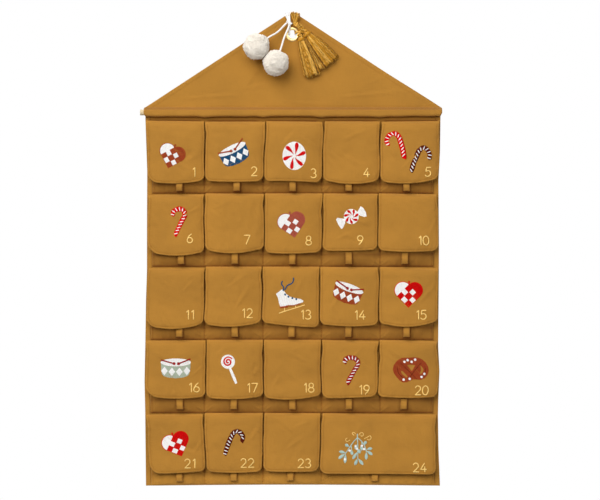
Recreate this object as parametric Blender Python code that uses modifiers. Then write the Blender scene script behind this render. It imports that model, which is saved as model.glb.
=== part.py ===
# Wall advent calendar: a gabled cloth panel with a dowel in a sleeve, five rows of
# pockets under hinged cloth flaps, and two pom-poms and two tassels tied at the peak.
# Metres, +Z up. The front faces -Y, the wall is the plane y = 0, and the origin is
# the middle of the hanging eyelet on that plane.

import math

import bmesh
import bpy
from mathutils import Vector

# The cloth panel
BODY_WIDTH = 0.600
ROW_PITCH = 0.150
APEX_ABOVE_EYELET = 0.046
APEX_WIDTH = 0.004
ROOF_HEIGHT = 0.195
BACK_CLOTH = 0.0015
FACING_CLOTH = 0.0012
SEAM_GAP = 0.0003

# The dowel and the sleeve that holds it
DOWEL_DIAMETER = 0.012
DOWEL_LENGTH = 0.611
DOWEL_END_OUT = 0.006
DOWEL_CHAMFER = 0.0006
SLEEVE_WIDTH = 0.611
SLEEVE_HEIGHT = 0.019
SLEEVE_TO_FLAPS = 0.009

# The pockets and their tape loops
ROW_CELLS = ((1, 1, 1, 1, 1),) * 4 + ((1, 1, 1, 2),)
COLUMN_COUNT = 5
POCKET_CLOTH = 0.0012
POCKET_FULLNESS = 0.011
POCKET_SIDE_MARGIN = 0.011
POCKET_FOOT_GAP = 0.0006
POCKET_DROP_SHARES = (0.16, 0.38, 0.68, 0.88)
POCKET_LEVEL_SHARES = (0.65, 0.90, 1.00, 0.62)
COLUMN_SHARES = (0.0, 0.12, 0.32, 0.68, 0.88, 1.0)
CROWN_POWER = 3
LOOP_TAPE = 0.0009
LOOP_WIDTH = 0.0135
LOOP_SPACE = 0.0008
LOOP_ABOVE_FOOT = 0.0050
LOOP_SEWN_ABOVE_FOOT = 0.0300
LOOP_SEAM_STEP = 0.0024

# The flaps
FLAP_CLOTH = 0.0016
FLAP_DROP = 0.124
FLAP_SIDE_GAP = 0.002
FLAP_CORNER = 0.018
FLAP_FOLD_RADIUS = 0.0012
FLAP_CLEARANCE = 0.0004
FLAP_LEVEL_SHARES = (0.67, 0.93, 1.00)
FLAP_EDGE_LIFT_SHARE = 0.40
FLAP_CORNER_RISE_SHARE = 0.45
FLAP_CURL = 0.0010
FLAP_CURL_PHASE = 2.4
FOLD_TURNS = (180, 120, 60, 0)

# The brass eyelet
EYELET_BORE = 0.016
EYELET_WALL = 0.0007
EYELET_FLANGE = 0.028
EYELET_FLANGE_HEIGHT = 0.0017
EYELET_LIP = 0.0005
WASHER_DIAMETER = 0.027
WASHER_THICKNESS = 0.0008
EYELET_FLARE = 0.0012
EYELET_STEPS = 24

# The white pom-pom cords
LEFT_CORD_KNOT = (-0.0080, 0.0250)
RIGHT_CORD_KNOT = (-0.0045, 0.0220)
WHITE_KNOT_RADIUS = 0.0042
CORD_DIAMETER = 0.004
WHITE_STRAND_RADIUS = 0.0018
WHITE_HOLE_ANGLE = 118
WHITE_STRAND_ASIDE = 0.0042
LEFT_CORD_BOW_SHARE = 0.7
RIGHT_CORD_BOW_SHARE = -0.3

# The pom-poms
POMPOM_LEFT = (-0.0726, -0.0275)
POMPOM_RIGHT = (-0.0338, -0.0609)
POMPOM_LEFT_RADIUS = 0.0270
POMPOM_RIGHT_RADIUS = 0.0265
POMPOM_LUMP_SHARE = 0.02
# how often the lumps come round: the first wave's x and z, the second wave's y and z
POMPOM_WAVES = (5, 2, 3, 6)

# The gold tassels
GOLD_KNOT = (0.0085, 0.0200)
LEFT_TASSEL_KNOT = (0.0150, -0.0010)
RIGHT_TASSEL_KNOT = (0.0250, 0.0095)
GOLD_KNOT_RADIUS = 0.0050
GOLD_STRAND_RADIUS = 0.0016
GOLD_TIE_RADIUS = 0.0022
GOLD_HOLE_ANGLES = (78, 42)
LEFT_TASSEL_FOOT = (0.0443, -0.0847)
RIGHT_TASSEL_FOOT = (0.0784, -0.0589)
LEFT_TASSEL_WIDTH = 0.031
RIGHT_TASSEL_WIDTH = 0.042
TASSEL_THICKNESS = 0.013
TASSEL_NECK = 0.008
TASSEL_SIDES = 20
TASSEL_FLUTES = 5
TASSEL_FLUTE_SHARE = 0.07
# how far along a tassel each ring lies, and how far it has spread from neck to foot
TASSEL_RING_SHARES = (
    (0.0, 0.0), (0.10, 0.10), (0.16, 0.02), (0.26, 0.36), (0.55, 0.72), (1.0, 1.0),
)

# Drawing values
ROUTE_STEPS = 4
CORD_STEPS = 12
TIE_STEPS = 4
SLEEVE_TURNS = 10
FACING_COLUMNS = 6
CUT_OVERRUN = 0.004
ROUND_STEPS = 24
KNOT_STEPS = 2
POMPOM_STEPS = 3
SMOOTH_ANGLE = 40
WELD_SHARE = 0.01
# how far above and below a knot's middle a strand ends, in strand radii
KNOT_GRIP_SHARE = 1.3

# Places worked out from the sizes
DEPTH_AT_PANEL = BACK_CLOTH + SEAM_GAP
FACING_FRONT = DEPTH_AT_PANEL + FACING_CLOTH
STITCH_Z = APEX_ABOVE_EYELET - ROOF_HEIGHT
SLEEVE_FOOT_Z = STITCH_Z - SLEEVE_HEIGHT
FIRST_FLAP_Z = SLEEVE_FOOT_Z - SLEEVE_TO_FLAPS
BODY_FOOT_Z = FIRST_FLAP_Z - ROW_PITCH * len(ROW_CELLS)
COLUMN_PITCH = BODY_WIDTH / COLUMN_COUNT
DOWEL_DEPTH = DEPTH_AT_PANEL + DOWEL_DIAMETER / 2
SLEEVE_RADIUS = DOWEL_DIAMETER / 2 + SEAM_GAP + FACING_CLOTH / 2
DOWEL_Z = SLEEVE_FOOT_Z + SLEEVE_RADIUS + FACING_CLOTH / 2
POCKET_FRONT = DEPTH_AT_PANEL + POCKET_CLOTH
HINGE_DEPTH = DEPTH_AT_PANEL + FLAP_CLOTH / 2 + FLAP_FOLD_RADIUS
HINGE_DROP = FLAP_FOLD_RADIUS + FLAP_CLOTH / 2
FLANGE_FRONT = FACING_FRONT + SEAM_GAP + EYELET_FLANGE_HEIGHT
WASHER_BACK = -(SEAM_GAP + WASHER_THICKNESS)
EYELET_BACK = WASHER_BACK - SEAM_GAP - EYELET_LIP


def clear_scene():
    for old in list(bpy.data.objects):
        bpy.data.objects.remove(old, do_unlink=True)


def new_collection(name):
    collection = bpy.data.collections.new(name)
    bpy.context.scene.collection.children.link(collection)
    return collection


clear_scene()
CALENDAR = new_collection("wall_advent_calendar")
CUTTERS = new_collection("cutters")


def new_material(name, colour, roughness, metallic=0.0):
    material = bpy.data.materials.new(name)
    material.use_nodes = True
    shader = material.node_tree.nodes["Principled BSDF"]
    shader.inputs["Base Color"].default_value = (*colour, 1.0)
    shader.inputs["Roughness"].default_value = roughness
    shader.inputs["Metallic"].default_value = metallic
    return material


CANVAS = new_material("mustard_canvas", (0.47, 0.22, 0.04), 0.9)
BRASS = new_material("brass", (0.80, 0.62, 0.30), 0.3, 1.0)
WOOD = new_material("pale_wood", (0.75, 0.58, 0.32), 0.6)
CREAM_YARN = new_material("cream_yarn", (0.78, 0.72, 0.60), 0.95)
WHITE_CORD = new_material("white_cord", (0.86, 0.84, 0.80), 0.85)
GOLD_THREAD = new_material("gold_thread", (0.50, 0.25, 0.04), 0.7)


def at(x, depth, z):
    """A point given by its depth in front of the wall."""
    return Vector((x, -depth, z))


def add_object(name, data, material, collection=CALENDAR):
    made = bpy.data.objects.new(name, data)
    collection.objects.link(made)
    if material is not None:
        data.materials.append(material)
    return made


def mesh_from(bm, name):
    mesh = bpy.data.meshes.new(name)
    bm.to_mesh(mesh)
    bm.free()
    return mesh


def shade_round(mesh):
    mesh.shade_smooth()
    mesh.set_sharp_from_angle(angle=math.radians(SMOOTH_ANGLE))


def as_cutter(cutter):
    cutter.hide_render = True
    cutter.display_type = "WIRE"


def boolean(target, other, operation, bent=False):
    modifier = target.modifiers.new(operation.lower(), "BOOLEAN")
    modifier.operation = operation
    modifier.solver = "EXACT"
    modifier.use_self = bent
    modifier.object = other


def cloth(name, rows, thickness, material=CANVAS, collection=CALENDAR):
    """A sheet of cloth through rows of points, from its top edge down its front."""
    bm = bmesh.new()
    grid = [[bm.verts.new(point) for point in row] for row in rows]
    for upper, lower in zip(grid, grid[1:]):
        for i in range(len(upper) - 1):
            bm.faces.new((upper[i], lower[i], lower[i + 1], upper[i + 1]))
    mesh = mesh_from(bm, name)
    sheet = add_object(name, mesh, material, collection)
    solid = sheet.modifiers.new("thickness", "SOLIDIFY")
    solid.thickness = thickness
    solid.offset = 0.0
    solid.use_even_offset = True
    return sheet


def smooth_route(points):
    """A smooth curve through a route's points."""
    route = []
    last = len(points) - 1
    for i in range(last):
        before, start = points[max(i - 1, 0)], points[i]
        end, after = points[i + 1], points[min(i + 2, last)]
        for step in range(ROUTE_STEPS):
            t = step / ROUTE_STEPS
            route.append(
                0.5 * (
                    2 * start
                    + (end - before) * t
                    + (2 * before - 5 * start + 4 * end - after) * t * t
                    + (3 * start - before - 3 * end + after) * t ** 3
                )
            )
    return route + [points[last]]


def tube(name, points, radius, material, collection=CALENDAR, detail=1):
    """A round cord through points, as a mesh with its end caps welded on."""
    curve = bpy.data.curves.new(name, "CURVE")
    curve.dimensions = "3D"
    curve.bevel_depth = radius
    curve.bevel_resolution = detail
    curve.use_fill_caps = True
    spline = curve.splines.new("POLY")
    spline.points.add(len(points) - 1)
    for target, point in zip(spline.points, points):
        target.co = (*point, 1.0)
    source = add_object(name + "_route", curve, None, CUTTERS)
    evaluated = source.evaluated_get(bpy.context.evaluated_depsgraph_get())
    mesh = bpy.data.meshes.new_from_object(evaluated)
    bpy.data.objects.remove(source, do_unlink=True)
    bm = bmesh.new()
    bm.from_mesh(mesh)
    bmesh.ops.remove_doubles(bm, verts=bm.verts, dist=radius * WELD_SHARE)
    bmesh.ops.recalc_face_normals(bm, faces=bm.faces)
    bm.to_mesh(mesh)
    bm.free()
    mesh.name = name
    shade_round(mesh)
    return add_object(name, mesh, material, collection)


def ball(name, centre, radius, material, collection=CALENDAR):
    bm = bmesh.new()
    bmesh.ops.create_icosphere(bm, subdivisions=KNOT_STEPS, radius=radius)
    bmesh.ops.translate(bm, verts=bm.verts, vec=centre)
    mesh = mesh_from(bm, name)
    shade_round(mesh)
    return add_object(name, mesh, material, collection)


def roof_edge_z(x):
    """Height of the gable's sloping edge at a distance from the middle."""
    slope = ROOF_HEIGHT / ((BODY_WIDTH - APEX_WIDTH) / 2)
    return APEX_ABOVE_EYELET - slope * max(abs(x) - APEX_WIDTH / 2, 0.0)


def eyelet_hole_cutter():
    bm = bmesh.new()
    radius = EYELET_BORE / 2 + EYELET_WALL + SEAM_GAP
    bmesh.ops.create_cone(
        bm, cap_ends=True, segments=EYELET_STEPS, radius1=radius, radius2=radius,
        depth=2 * (FACING_FRONT + CUT_OVERRUN),
    )
    cutter = add_object("eyelet_hole", mesh_from(bm, "eyelet_hole"), None, CUTTERS)
    cutter.rotation_euler = (math.radians(90), 0.0, 0.0)
    as_cutter(cutter)
    return cutter


def make_back_panel(hole):
    """The plain back cloth: the gable and the body in one flat piece."""
    half = BODY_WIDTH / 2
    outline = (
        (-APEX_WIDTH / 2, APEX_ABOVE_EYELET), (-half, STITCH_Z), (-half, BODY_FOOT_Z),
        (half, BODY_FOOT_Z), (half, STITCH_Z), (APEX_WIDTH / 2, APEX_ABOVE_EYELET),
    )
    bm = bmesh.new()
    face = bm.faces.new([bm.verts.new(at(x, BACK_CLOTH, z)) for x, z in outline])
    sides = bmesh.ops.extrude_face_region(bm, geom=[face])["geom"]
    moved = [item for item in sides if isinstance(item, bmesh.types.BMVert)]
    bmesh.ops.translate(bm, verts=moved, vec=Vector((0.0, BACK_CLOTH, 0.0)))
    bmesh.ops.recalc_face_normals(bm, faces=bm.faces)
    panel = add_object("back_panel", mesh_from(bm, "back_panel"), CANVAS)
    boolean(panel, hole, "DIFFERENCE")


def sleeve_profile():
    """Depth and height of the facing where it goes round the dowel, from the stitch line."""
    depth = DEPTH_AT_PANEL + FACING_CLOTH / 2
    back, rise = DOWEL_DEPTH - depth, STITCH_Z - DOWEL_Z
    reach = math.hypot(back, rise)
    first = math.degrees(math.atan2(rise, -back) - math.acos(SLEEVE_RADIUS / reach))
    last = -90 - math.degrees(math.asin(back / SLEEVE_RADIUS))
    profile = [(depth, STITCH_Z)]
    for i in range(SLEEVE_TURNS + 1):
        angle = math.radians(first + (last - first) * i / SLEEVE_TURNS)
        profile.append((
            DOWEL_DEPTH + SLEEVE_RADIUS * math.cos(angle),
            DOWEL_Z + SLEEVE_RADIUS * math.sin(angle),
        ))
    return profile


def make_roof_facing(hole):
    """The gable's front cloth, whose foot is stitched down as the dowel's sleeve."""
    depth = DEPTH_AT_PANEL + FACING_CLOTH / 2
    spans = [(APEX_WIDTH / 2, depth, APEX_ABOVE_EYELET), (BODY_WIDTH / 2, depth, STITCH_Z)]
    spans += [(SLEEVE_WIDTH / 2, *place) for place in sleeve_profile()[1:]]
    rows = [
        [at(half * (2 * i / FACING_COLUMNS - 1), depth, z) for i in range(FACING_COLUMNS + 1)]
        for half, depth, z in spans
    ]
    facing = cloth("roof_facing", rows, FACING_CLOTH)
    boolean(facing, hole, "DIFFERENCE")


def make_dowel():
    """The rod, with its origin at its left end, which stands out of the sleeve."""
    bpy.ops.mesh.primitive_cylinder_add(
        vertices=ROUND_STEPS, radius=DOWEL_DIAMETER / 2, depth=DOWEL_LENGTH,
    )
    dowel = bpy.context.object
    dowel.name = dowel.data.name = "dowel"
    for vertex in dowel.data.vertices:
        vertex.co.z += DOWEL_LENGTH / 2
    dowel.rotation_euler = (0.0, math.radians(90), 0.0)
    left_end = -SLEEVE_WIDTH / 2 - DOWEL_END_OUT
    dowel.location = at(left_end, DOWEL_DEPTH, DOWEL_Z)
    dowel.data.materials.append(WOOD)
    bevel = dowel.modifiers.new("chamfer", "BEVEL")
    bevel.width = DOWEL_CHAMFER
    bevel.segments = 1
    bevel.limit_method = "ANGLE"
    shade_round(dowel.data)
    for owner in list(dowel.users_collection):
        owner.objects.unlink(dowel)
    CALENDAR.objects.link(dowel)


def turned(name, profile, material):
    """A ring turned about the eyelet's axis; profile is radius and depth, outer side first."""
    bm = bmesh.new()
    corners = [bm.verts.new((radius, 0.0, depth)) for radius, depth in profile]
    for i, corner in enumerate(corners):
        bm.edges.new((corner, corners[(i + 1) % len(corners)]))
    ring = add_object(name, mesh_from(bm, name), material)
    screw = ring.modifiers.new("turn", "SCREW")
    screw.axis = "Z"
    screw.angle = math.radians(360)
    screw.steps = screw.render_steps = EYELET_STEPS
    screw.use_merge_vertices = True
    screw.merge_threshold = 0.00001
    ring.rotation_euler = (math.radians(90), 0.0, 0.0)
    return ring


def make_eyelet():
    """A brass eyelet: a barrel with a rolled front flange, clinched over a back washer."""
    bore = EYELET_BORE / 2
    barrel = bore + EYELET_WALL
    rim = EYELET_FLANGE / 2
    seat = FACING_FRONT + SEAM_GAP
    step = EYELET_FLANGE_HEIGHT / 2
    turned("eyelet_front", (
        (rim, seat + step), (rim - step / 2, seat + step / 4), (rim - step, seat),
        (barrel, seat), (barrel, WASHER_BACK - SEAM_GAP),
        (barrel + EYELET_FLARE, WASHER_BACK - SEAM_GAP), (barrel + EYELET_FLARE, EYELET_BACK),
        (bore, EYELET_BACK), (bore, seat + step), (bore + step, FLANGE_FRONT),
        (rim - 2 * step, FLANGE_FRONT), (rim - step / 2, seat + step * 3 / 2),
    ), BRASS)
    inner, outer = barrel + SEAM_GAP, WASHER_DIAMETER / 2
    turned("eyelet_washer", (
        (outer, -SEAM_GAP), (outer, WASHER_BACK), (inner, WASHER_BACK), (inner, -SEAM_GAP),
    ), BRASS)


def row_top(row):
    return FIRST_FLAP_Z - ROW_PITCH * row


def cell_edges(row):
    """The column boundaries of a row's pockets, left to right."""
    edges = [-BODY_WIDTH / 2]
    for columns in ROW_CELLS[row]:
        edges.append(edges[-1] + COLUMN_PITCH * columns)
    return edges


def pocket_edges(row):
    """The same boundaries, with the outer ones drawn in to where the strip is sewn."""
    edges = cell_edges(row)
    edges[0] += POCKET_SIDE_MARGIN
    edges[-1] -= POCKET_SIDE_MARGIN
    return edges


def crown(x, left, right):
    """How far a pocket stands out across its width: nothing at its seams, all at its middle."""
    across = abs(2 * (x - left) / (right - left) - 1)
    return max(1 - across ** CROWN_POWER, 0.0)


def pocket_drops():
    foot = ROW_PITCH - POCKET_FOOT_GAP
    return [ROW_PITCH * share for share in POCKET_DROP_SHARES] + [foot]


def pocket_level(drop):
    """How full a pocket is at a distance below the top of its row."""
    drops, levels = pocket_drops(), (*POCKET_LEVEL_SHARES, 0.0)
    for i in range(len(drops) - 1):
        if drop <= drops[i + 1]:
            t = (drop - drops[i]) / (drops[i + 1] - drops[i])
            return levels[i] + (levels[i + 1] - levels[i]) * max(t, 0.0)
    return 0.0


def make_tape_loop(name, middle, row):
    """A folded tape, sewn by its two ends under the flap's edge and hanging free below it."""
    def front(drop):
        return POCKET_FRONT + POCKET_FULLNESS * pocket_level(drop)

    def beside(drop, layers):
        return front(drop) + LOOP_SPACE * layers + LOOP_TAPE * (layers - 0.5)

    sewn = ROW_PITCH - LOOP_SEWN_ABOVE_FOOT
    tip = ROW_PITCH - LOOP_ABOVE_FOOT - LOOP_TAPE / 2
    kink = pocket_drops()[-2]
    upper = sewn + 2 * LOOP_SEAM_STEP
    bend = tip - LOOP_SPACE
    path = (
        (front(sewn) - LOOP_TAPE / 2, sewn), (beside(upper, 1), upper), (beside(kink, 1), kink),
        (beside(bend, 1), bend), (beside(tip, 2) - LOOP_SPACE, tip), (beside(bend, 2), bend),
        (beside(kink, 2), kink), (beside(upper, 2), upper),
        (front(sewn - LOOP_SEAM_STEP) - LOOP_TAPE / 2, sewn - LOOP_SEAM_STEP),
    )
    top = row_top(row)
    rows = [
        [at(middle + side * LOOP_WIDTH / 2, depth, top - drop) for side in (1, -1)]
        for depth, drop in path
    ]
    tape = cloth(name, rows, LOOP_TAPE, collection=CUTTERS)
    as_cutter(tape)
    return tape


def make_pocket_strip(row):
    """One row's pockets: a gathered strip sewn down at its foot and between its pockets."""
    edges = pocket_edges(row)
    places = [edges[0]]
    for left, right in zip(edges, edges[1:]):
        places += [left + (right - left) * share for share in COLUMN_SHARES[1:]]
    spans = list(zip(edges, edges[1:]))

    def depth(x, level):
        fullest = max(crown(x, left, right) for left, right in spans if left <= x <= right)
        return DEPTH_AT_PANEL + POCKET_CLOTH / 2 + POCKET_FULLNESS * level * fullest

    places = [min(max(x, edges[0]), edges[-1]) for x in places]
    top = row_top(row)
    rows = [
        [at(x, depth(x, pocket_level(drop)), top - drop) for x in places]
        for drop in pocket_drops()
    ]
    strip = cloth(f"pocket_strip_row_{row + 1}", rows, POCKET_CLOTH)
    for number, (left, right) in enumerate(spans):
        tape = make_tape_loop(f"tape_loop_{row + 1}_{number + 1}", (left + right) / 2, row)
        boolean(strip, tape, "UNION")


def flap_half_width(half, above_foot):
    """A flap's half width near its foot, where its corners are round."""
    short = max(FLAP_CORNER - above_foot, 0.0)
    return half - FLAP_CORNER + math.sqrt(FLAP_CORNER ** 2 - short ** 2)


def make_flap(number, row, cell):
    """A flap, folded over at its hinge line and draped on its pocket."""
    left, right = cell_edges(row)[cell:cell + 2]
    pocket = pocket_edges(row)[cell:cell + 2]
    middle, half = (left + right) / 2, (right - left - FLAP_SIDE_GAP) / 2
    hinge_z = row_top(row) - HINGE_DROP
    levels = [
        (ROW_PITCH * drop, level) for drop, level in zip(POCKET_DROP_SHARES, FLAP_LEVEL_SHARES)
    ]
    corner = FLAP_DROP - FLAP_CORNER * FLAP_CORNER_RISE_SHARE
    levels += [(corner, 1.0), (FLAP_DROP, 1.0)]
    curl = FLAP_CURL * (1 + math.sin(FLAP_CURL_PHASE * number)) / 2
    rows = []
    for turn in FOLD_TURNS:
        depth = FLAP_FOLD_RADIUS * math.cos(math.radians(turn))
        height = FLAP_FOLD_RADIUS * math.sin(math.radians(turn))
        rows.append([(half * (2 * s - 1), depth, height) for s in COLUMN_SHARES])
    inner = POCKET_FRONT + FLAP_CLEARANCE + FLAP_CLOTH / 2 - HINGE_DEPTH
    for drop, level in levels:
        width = flap_half_width(half, FLAP_DROP - drop)
        lifted = curl * max(drop - corner, 0.0) / (FLAP_DROP - corner)
        line = []
        for share in COLUMN_SHARES:
            x = width * (2 * share - 1)
            rise = crown(x + middle, *pocket) * (1 - FLAP_EDGE_LIFT_SHARE) + FLAP_EDGE_LIFT_SHARE
            depth = inner + POCKET_FULLNESS * level * rise + lifted
            line.append((x, depth, HINGE_DROP - drop))
        rows.append(line)
    flap = cloth(f"flap_{number:02d}", [[at(*point) for point in line] for line in rows], FLAP_CLOTH)
    flap.location = at(middle, HINGE_DEPTH, hinge_z)


def make_rows():
    number = 0
    for row, cells in enumerate(ROW_CELLS):
        make_pocket_strip(row)
        for cell in range(len(cells)):
            number += 1
            make_flap(number, row, cell)


def hitch_strand(name, x_edge, hole_angle, knot, knot_depth, radius, material, aside=0.0):
    """One strand of a hitch: from its knot over the gable's edge, down the back, and
    forward through the eyelet to the knot again."""
    front = FACING_FRONT + SEAM_GAP + radius
    back = -(SEAM_GAP + radius)
    behind_eyelet = EYELET_BACK - SEAM_GAP - radius
    before_eyelet = FLANGE_FRONT + SEAM_GAP + radius
    over = roof_edge_z(x_edge) + SEAM_GAP + radius * 3 / 2
    grip = radius * KNOT_GRIP_SHARE
    reach = EYELET_BORE / 2 - 2 * SEAM_GAP - radius
    x_hole = reach * math.cos(math.radians(hole_angle))
    z_hole = reach * math.sin(math.radians(hole_angle))
    rim = EYELET_FLANGE / 2
    x_knot, z_knot = knot
    x_mid = (x_edge + x_hole) / 2
    route = (
        at(x_knot, knot_depth, z_knot + grip),
        at((x_knot + x_edge) / 2, (front + knot_depth) / 2 + radius / 2, (z_knot + over) / 2),
        at(x_edge, front + radius / 2, over - 2 * radius),
        at(x_edge, BACK_CLOTH + radius, over + radius / 4),
        at(x_edge, -radius, over + radius / 4),
        at(x_edge, back - radius / 2, over - 3 * radius),
        at(x_mid, behind_eyelet, rim + 2 * radius),
        at(x_hole, behind_eyelet - radius / 2, z_hole + radius),
        at(x_hole, (behind_eyelet + back) / 2, z_hole - radius / 4),
        at(x_hole, BACK_CLOTH, z_hole),
        at(x_hole, FACING_FRONT + radius, z_hole - radius / 4),
        at(x_hole, before_eyelet, z_hole + radius / 4),
        at((x_hole + x_knot) / 2 + aside, before_eyelet + radius / 2, (z_hole + z_knot) / 2),
        at(x_knot, knot_depth, z_knot - grip),
    )
    return tube(name, smooth_route(route), radius, material, CUTTERS)


def fused(name, pieces):
    """Join overlapping pieces into one solid that takes the first one's mesh."""
    first = pieces[0]
    for other in pieces[1:]:
        as_cutter(other)
        boolean(first, other, "UNION", bent=True)
    CUTTERS.objects.unlink(first)
    CALENDAR.objects.link(first)
    first.name = first.data.name = name
    return first


def knot_depth(radius):
    return FLANGE_FRONT + SEAM_GAP + radius


def make_pompom_hitch():
    depth = knot_depth(WHITE_KNOT_RADIUS)
    pieces = [
        ball(f"white_knot_{side}", at(x, depth, z), WHITE_KNOT_RADIUS, WHITE_CORD, CUTTERS)
        for side, (x, z) in (("left", LEFT_CORD_KNOT), ("right", RIGHT_CORD_KNOT))
    ]
    x, z = ((a + b) / 2 for a, b in zip(LEFT_CORD_KNOT, RIGHT_CORD_KNOT))
    pieces.append(hitch_strand(
        "white_strand", x, WHITE_HOLE_ANGLE, (x, z), depth, WHITE_STRAND_RADIUS, WHITE_CORD,
        aside=WHITE_STRAND_ASIDE,
    ))
    fused("pompom_hitch", pieces)


def make_tassel_hitch():
    depth = knot_depth(GOLD_KNOT_RADIUS)
    x, z = GOLD_KNOT
    knot = ball("gold_knot", at(x, depth, z), GOLD_KNOT_RADIUS, GOLD_THREAD, CUTTERS)
    pieces = [knot]
    for i, angle in enumerate(GOLD_HOLE_ANGLES):
        start = x + GOLD_STRAND_RADIUS * (2 * i - 1)
        pieces.append(hitch_strand(
            f"gold_strand_{i}", start - x / 2, angle, (start, z), depth,
            GOLD_STRAND_RADIUS, GOLD_THREAD,
        ))
    for side, end in (("left", LEFT_TASSEL_KNOT), ("right", RIGHT_TASSEL_KNOT)):
        centre = at(end[0], depth, end[1])
        pieces.append(ball(f"gold_knot_{side}", centre, GOLD_KNOT_RADIUS, GOLD_THREAD, CUTTERS))
        line = [at(x, depth, z).lerp(centre, i / TIE_STEPS) for i in range(TIE_STEPS + 1)]
        pieces.append(tube(f"gold_tie_{side}", line, GOLD_TIE_RADIUS, GOLD_THREAD, CUTTERS))
    fused("tassel_hitch", pieces)


def pompom_reach(direction, radius):
    """Distance from a pom-pom's middle to its lumpy, trimmed surface."""
    first_x, first_z, second_y, second_z = POMPOM_WAVES
    first = math.sin(first_x * direction.x + first_z * direction.z)
    second = math.cos(second_z * direction.z - second_y * direction.y)
    return radius * (1 + POMPOM_LUMP_SHARE * first * second)


def pompom_centre(place, radius):
    return at(place[0], FACING_FRONT + SEAM_GAP + radius * (1 + POMPOM_LUMP_SHARE), place[1])


def cord_pivot(knot):
    return at(knot[0], knot_depth(WHITE_KNOT_RADIUS), knot[1])


def make_pompom(name, pivot, centre, radius, other, other_radius):
    """A trimmed yarn ball, pressed flat where it lies against its neighbour."""
    bm = bmesh.new()
    bmesh.ops.create_icosphere(bm, subdivisions=POMPOM_STEPS, radius=1.0)
    across = other - centre
    apart = across.length
    across.normalize()
    wall = (apart + radius - other_radius) / 2 - SEAM_GAP / 2
    for vertex in bm.verts:
        direction = vertex.co.normalized()
        place = direction * pompom_reach(direction, radius)
        place -= across * max(place.dot(across) - wall, 0.0)
        vertex.co = place + centre - pivot
    pompom = add_object(name, mesh_from(bm, name), CREAM_YARN)
    shade_round(pompom.data)
    pompom.location = pivot


def make_pompom_cord(name, pivot, centre, radius, turn):
    """A cord from the knot to the pom-pom's surface, straight at both its ends."""
    way = (centre - pivot).normalized()
    side = way.cross(Vector((0.0, 1.0, 0.0))).normalized()
    start = pivot + way * (WHITE_KNOT_RADIUS + SEAM_GAP)
    reach = pompom_reach(-way, radius)
    end = centre - way * (reach + SEAM_GAP)
    route = []
    for i in range(CORD_STEPS + 1):
        t = i / CORD_STEPS
        bow = math.sin(math.pi * t) ** 2 * turn * CORD_DIAMETER
        route.append(start.lerp(end, t) + side * bow)
    length = sum((b - a).length for a, b in zip(route, route[1:]))
    print(name, "length", round(length, 4))
    tube(name, route, CORD_DIAMETER / 2, WHITE_CORD, CALENDAR, detail=2)


def make_tassel(name, knot, foot, width):
    """A bundle of threads, bound at its neck and spreading flat towards its cut foot."""
    depth = knot_depth(GOLD_KNOT_RADIUS)
    pivot, end = at(knot[0], depth, knot[1]), at(foot[0], depth, foot[1])
    way = (end - pivot).normalized()
    side = way.cross(Vector((0.0, 1.0, 0.0))).normalized()
    front = Vector((0.0, -1.0, 0.0))
    first = GOLD_KNOT_RADIUS + SEAM_GAP
    length = (end - pivot).length - first
    bm = bmesh.new()
    rings = []
    for along, spread in TASSEL_RING_SHARES:
        middle = way * (first + length * along)
        half_width = (TASSEL_NECK + (width - TASSEL_NECK) * spread) / 2
        half_depth = (TASSEL_NECK + (TASSEL_THICKNESS - TASSEL_NECK) * spread) / 2
        ring = []
        for i in range(TASSEL_SIDES):
            angle = 2 * math.pi * i / TASSEL_SIDES
            flute = 1 - TASSEL_FLUTE_SHARE * spread * (1 - math.cos(2 * TASSEL_FLUTES * angle))
            ring.append(bm.verts.new(
                middle + side * half_width * flute * math.cos(angle)
                + front * half_depth * flute * math.sin(angle)
            ))
        rings.append(ring)
    for upper, lower in zip(rings, rings[1:]):
        for i in range(TASSEL_SIDES):
            j = (i + 1) % TASSEL_SIDES
            bm.faces.new((upper[i], upper[j], lower[j], lower[i]))
    bm.faces.new(rings[0])
    bm.faces.new(rings[-1])
    bmesh.ops.recalc_face_normals(bm, faces=bm.faces)
    tassel = add_object(name, mesh_from(bm, name), GOLD_THREAD)
    tassel.location = pivot


def make_trims():
    make_pompom_hitch()
    make_tassel_hitch()
    left = pompom_centre(POMPOM_LEFT, POMPOM_LEFT_RADIUS)
    right = pompom_centre(POMPOM_RIGHT, POMPOM_RIGHT_RADIUS)
    pivots = cord_pivot(LEFT_CORD_KNOT), cord_pivot(RIGHT_CORD_KNOT)
    make_pompom("pompom_left", pivots[0], left, POMPOM_LEFT_RADIUS, right, POMPOM_RIGHT_RADIUS)
    make_pompom("pompom_right", pivots[1], right, POMPOM_RIGHT_RADIUS, left, POMPOM_LEFT_RADIUS)
    make_pompom_cord("pompom_cord_left", pivots[0], left, POMPOM_LEFT_RADIUS, LEFT_CORD_BOW_SHARE)
    make_pompom_cord("pompom_cord_right", pivots[1], right, POMPOM_RIGHT_RADIUS, RIGHT_CORD_BOW_SHARE)
    make_tassel("tassel_left", LEFT_TASSEL_KNOT, LEFT_TASSEL_FOOT, LEFT_TASSEL_WIDTH)
    make_tassel("tassel_right", RIGHT_TASSEL_KNOT, RIGHT_TASSEL_FOOT, RIGHT_TASSEL_WIDTH)


def main():
    hole = eyelet_hole_cutter()
    make_back_panel(hole)
    make_roof_facing(hole)
    make_dowel()
    make_eyelet()
    make_rows()
    make_trims()


main()
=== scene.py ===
# %% [markdown]
# # Dressing a wall advent calendar
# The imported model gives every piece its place, its size and the body it moves with. This lesson
# covers that frame with cloth, stitches, yarn, wood and brass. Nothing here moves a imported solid:
# each soft one is hidden, and a piece modelled below stands for it.

# %% Load the frame
import math

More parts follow.
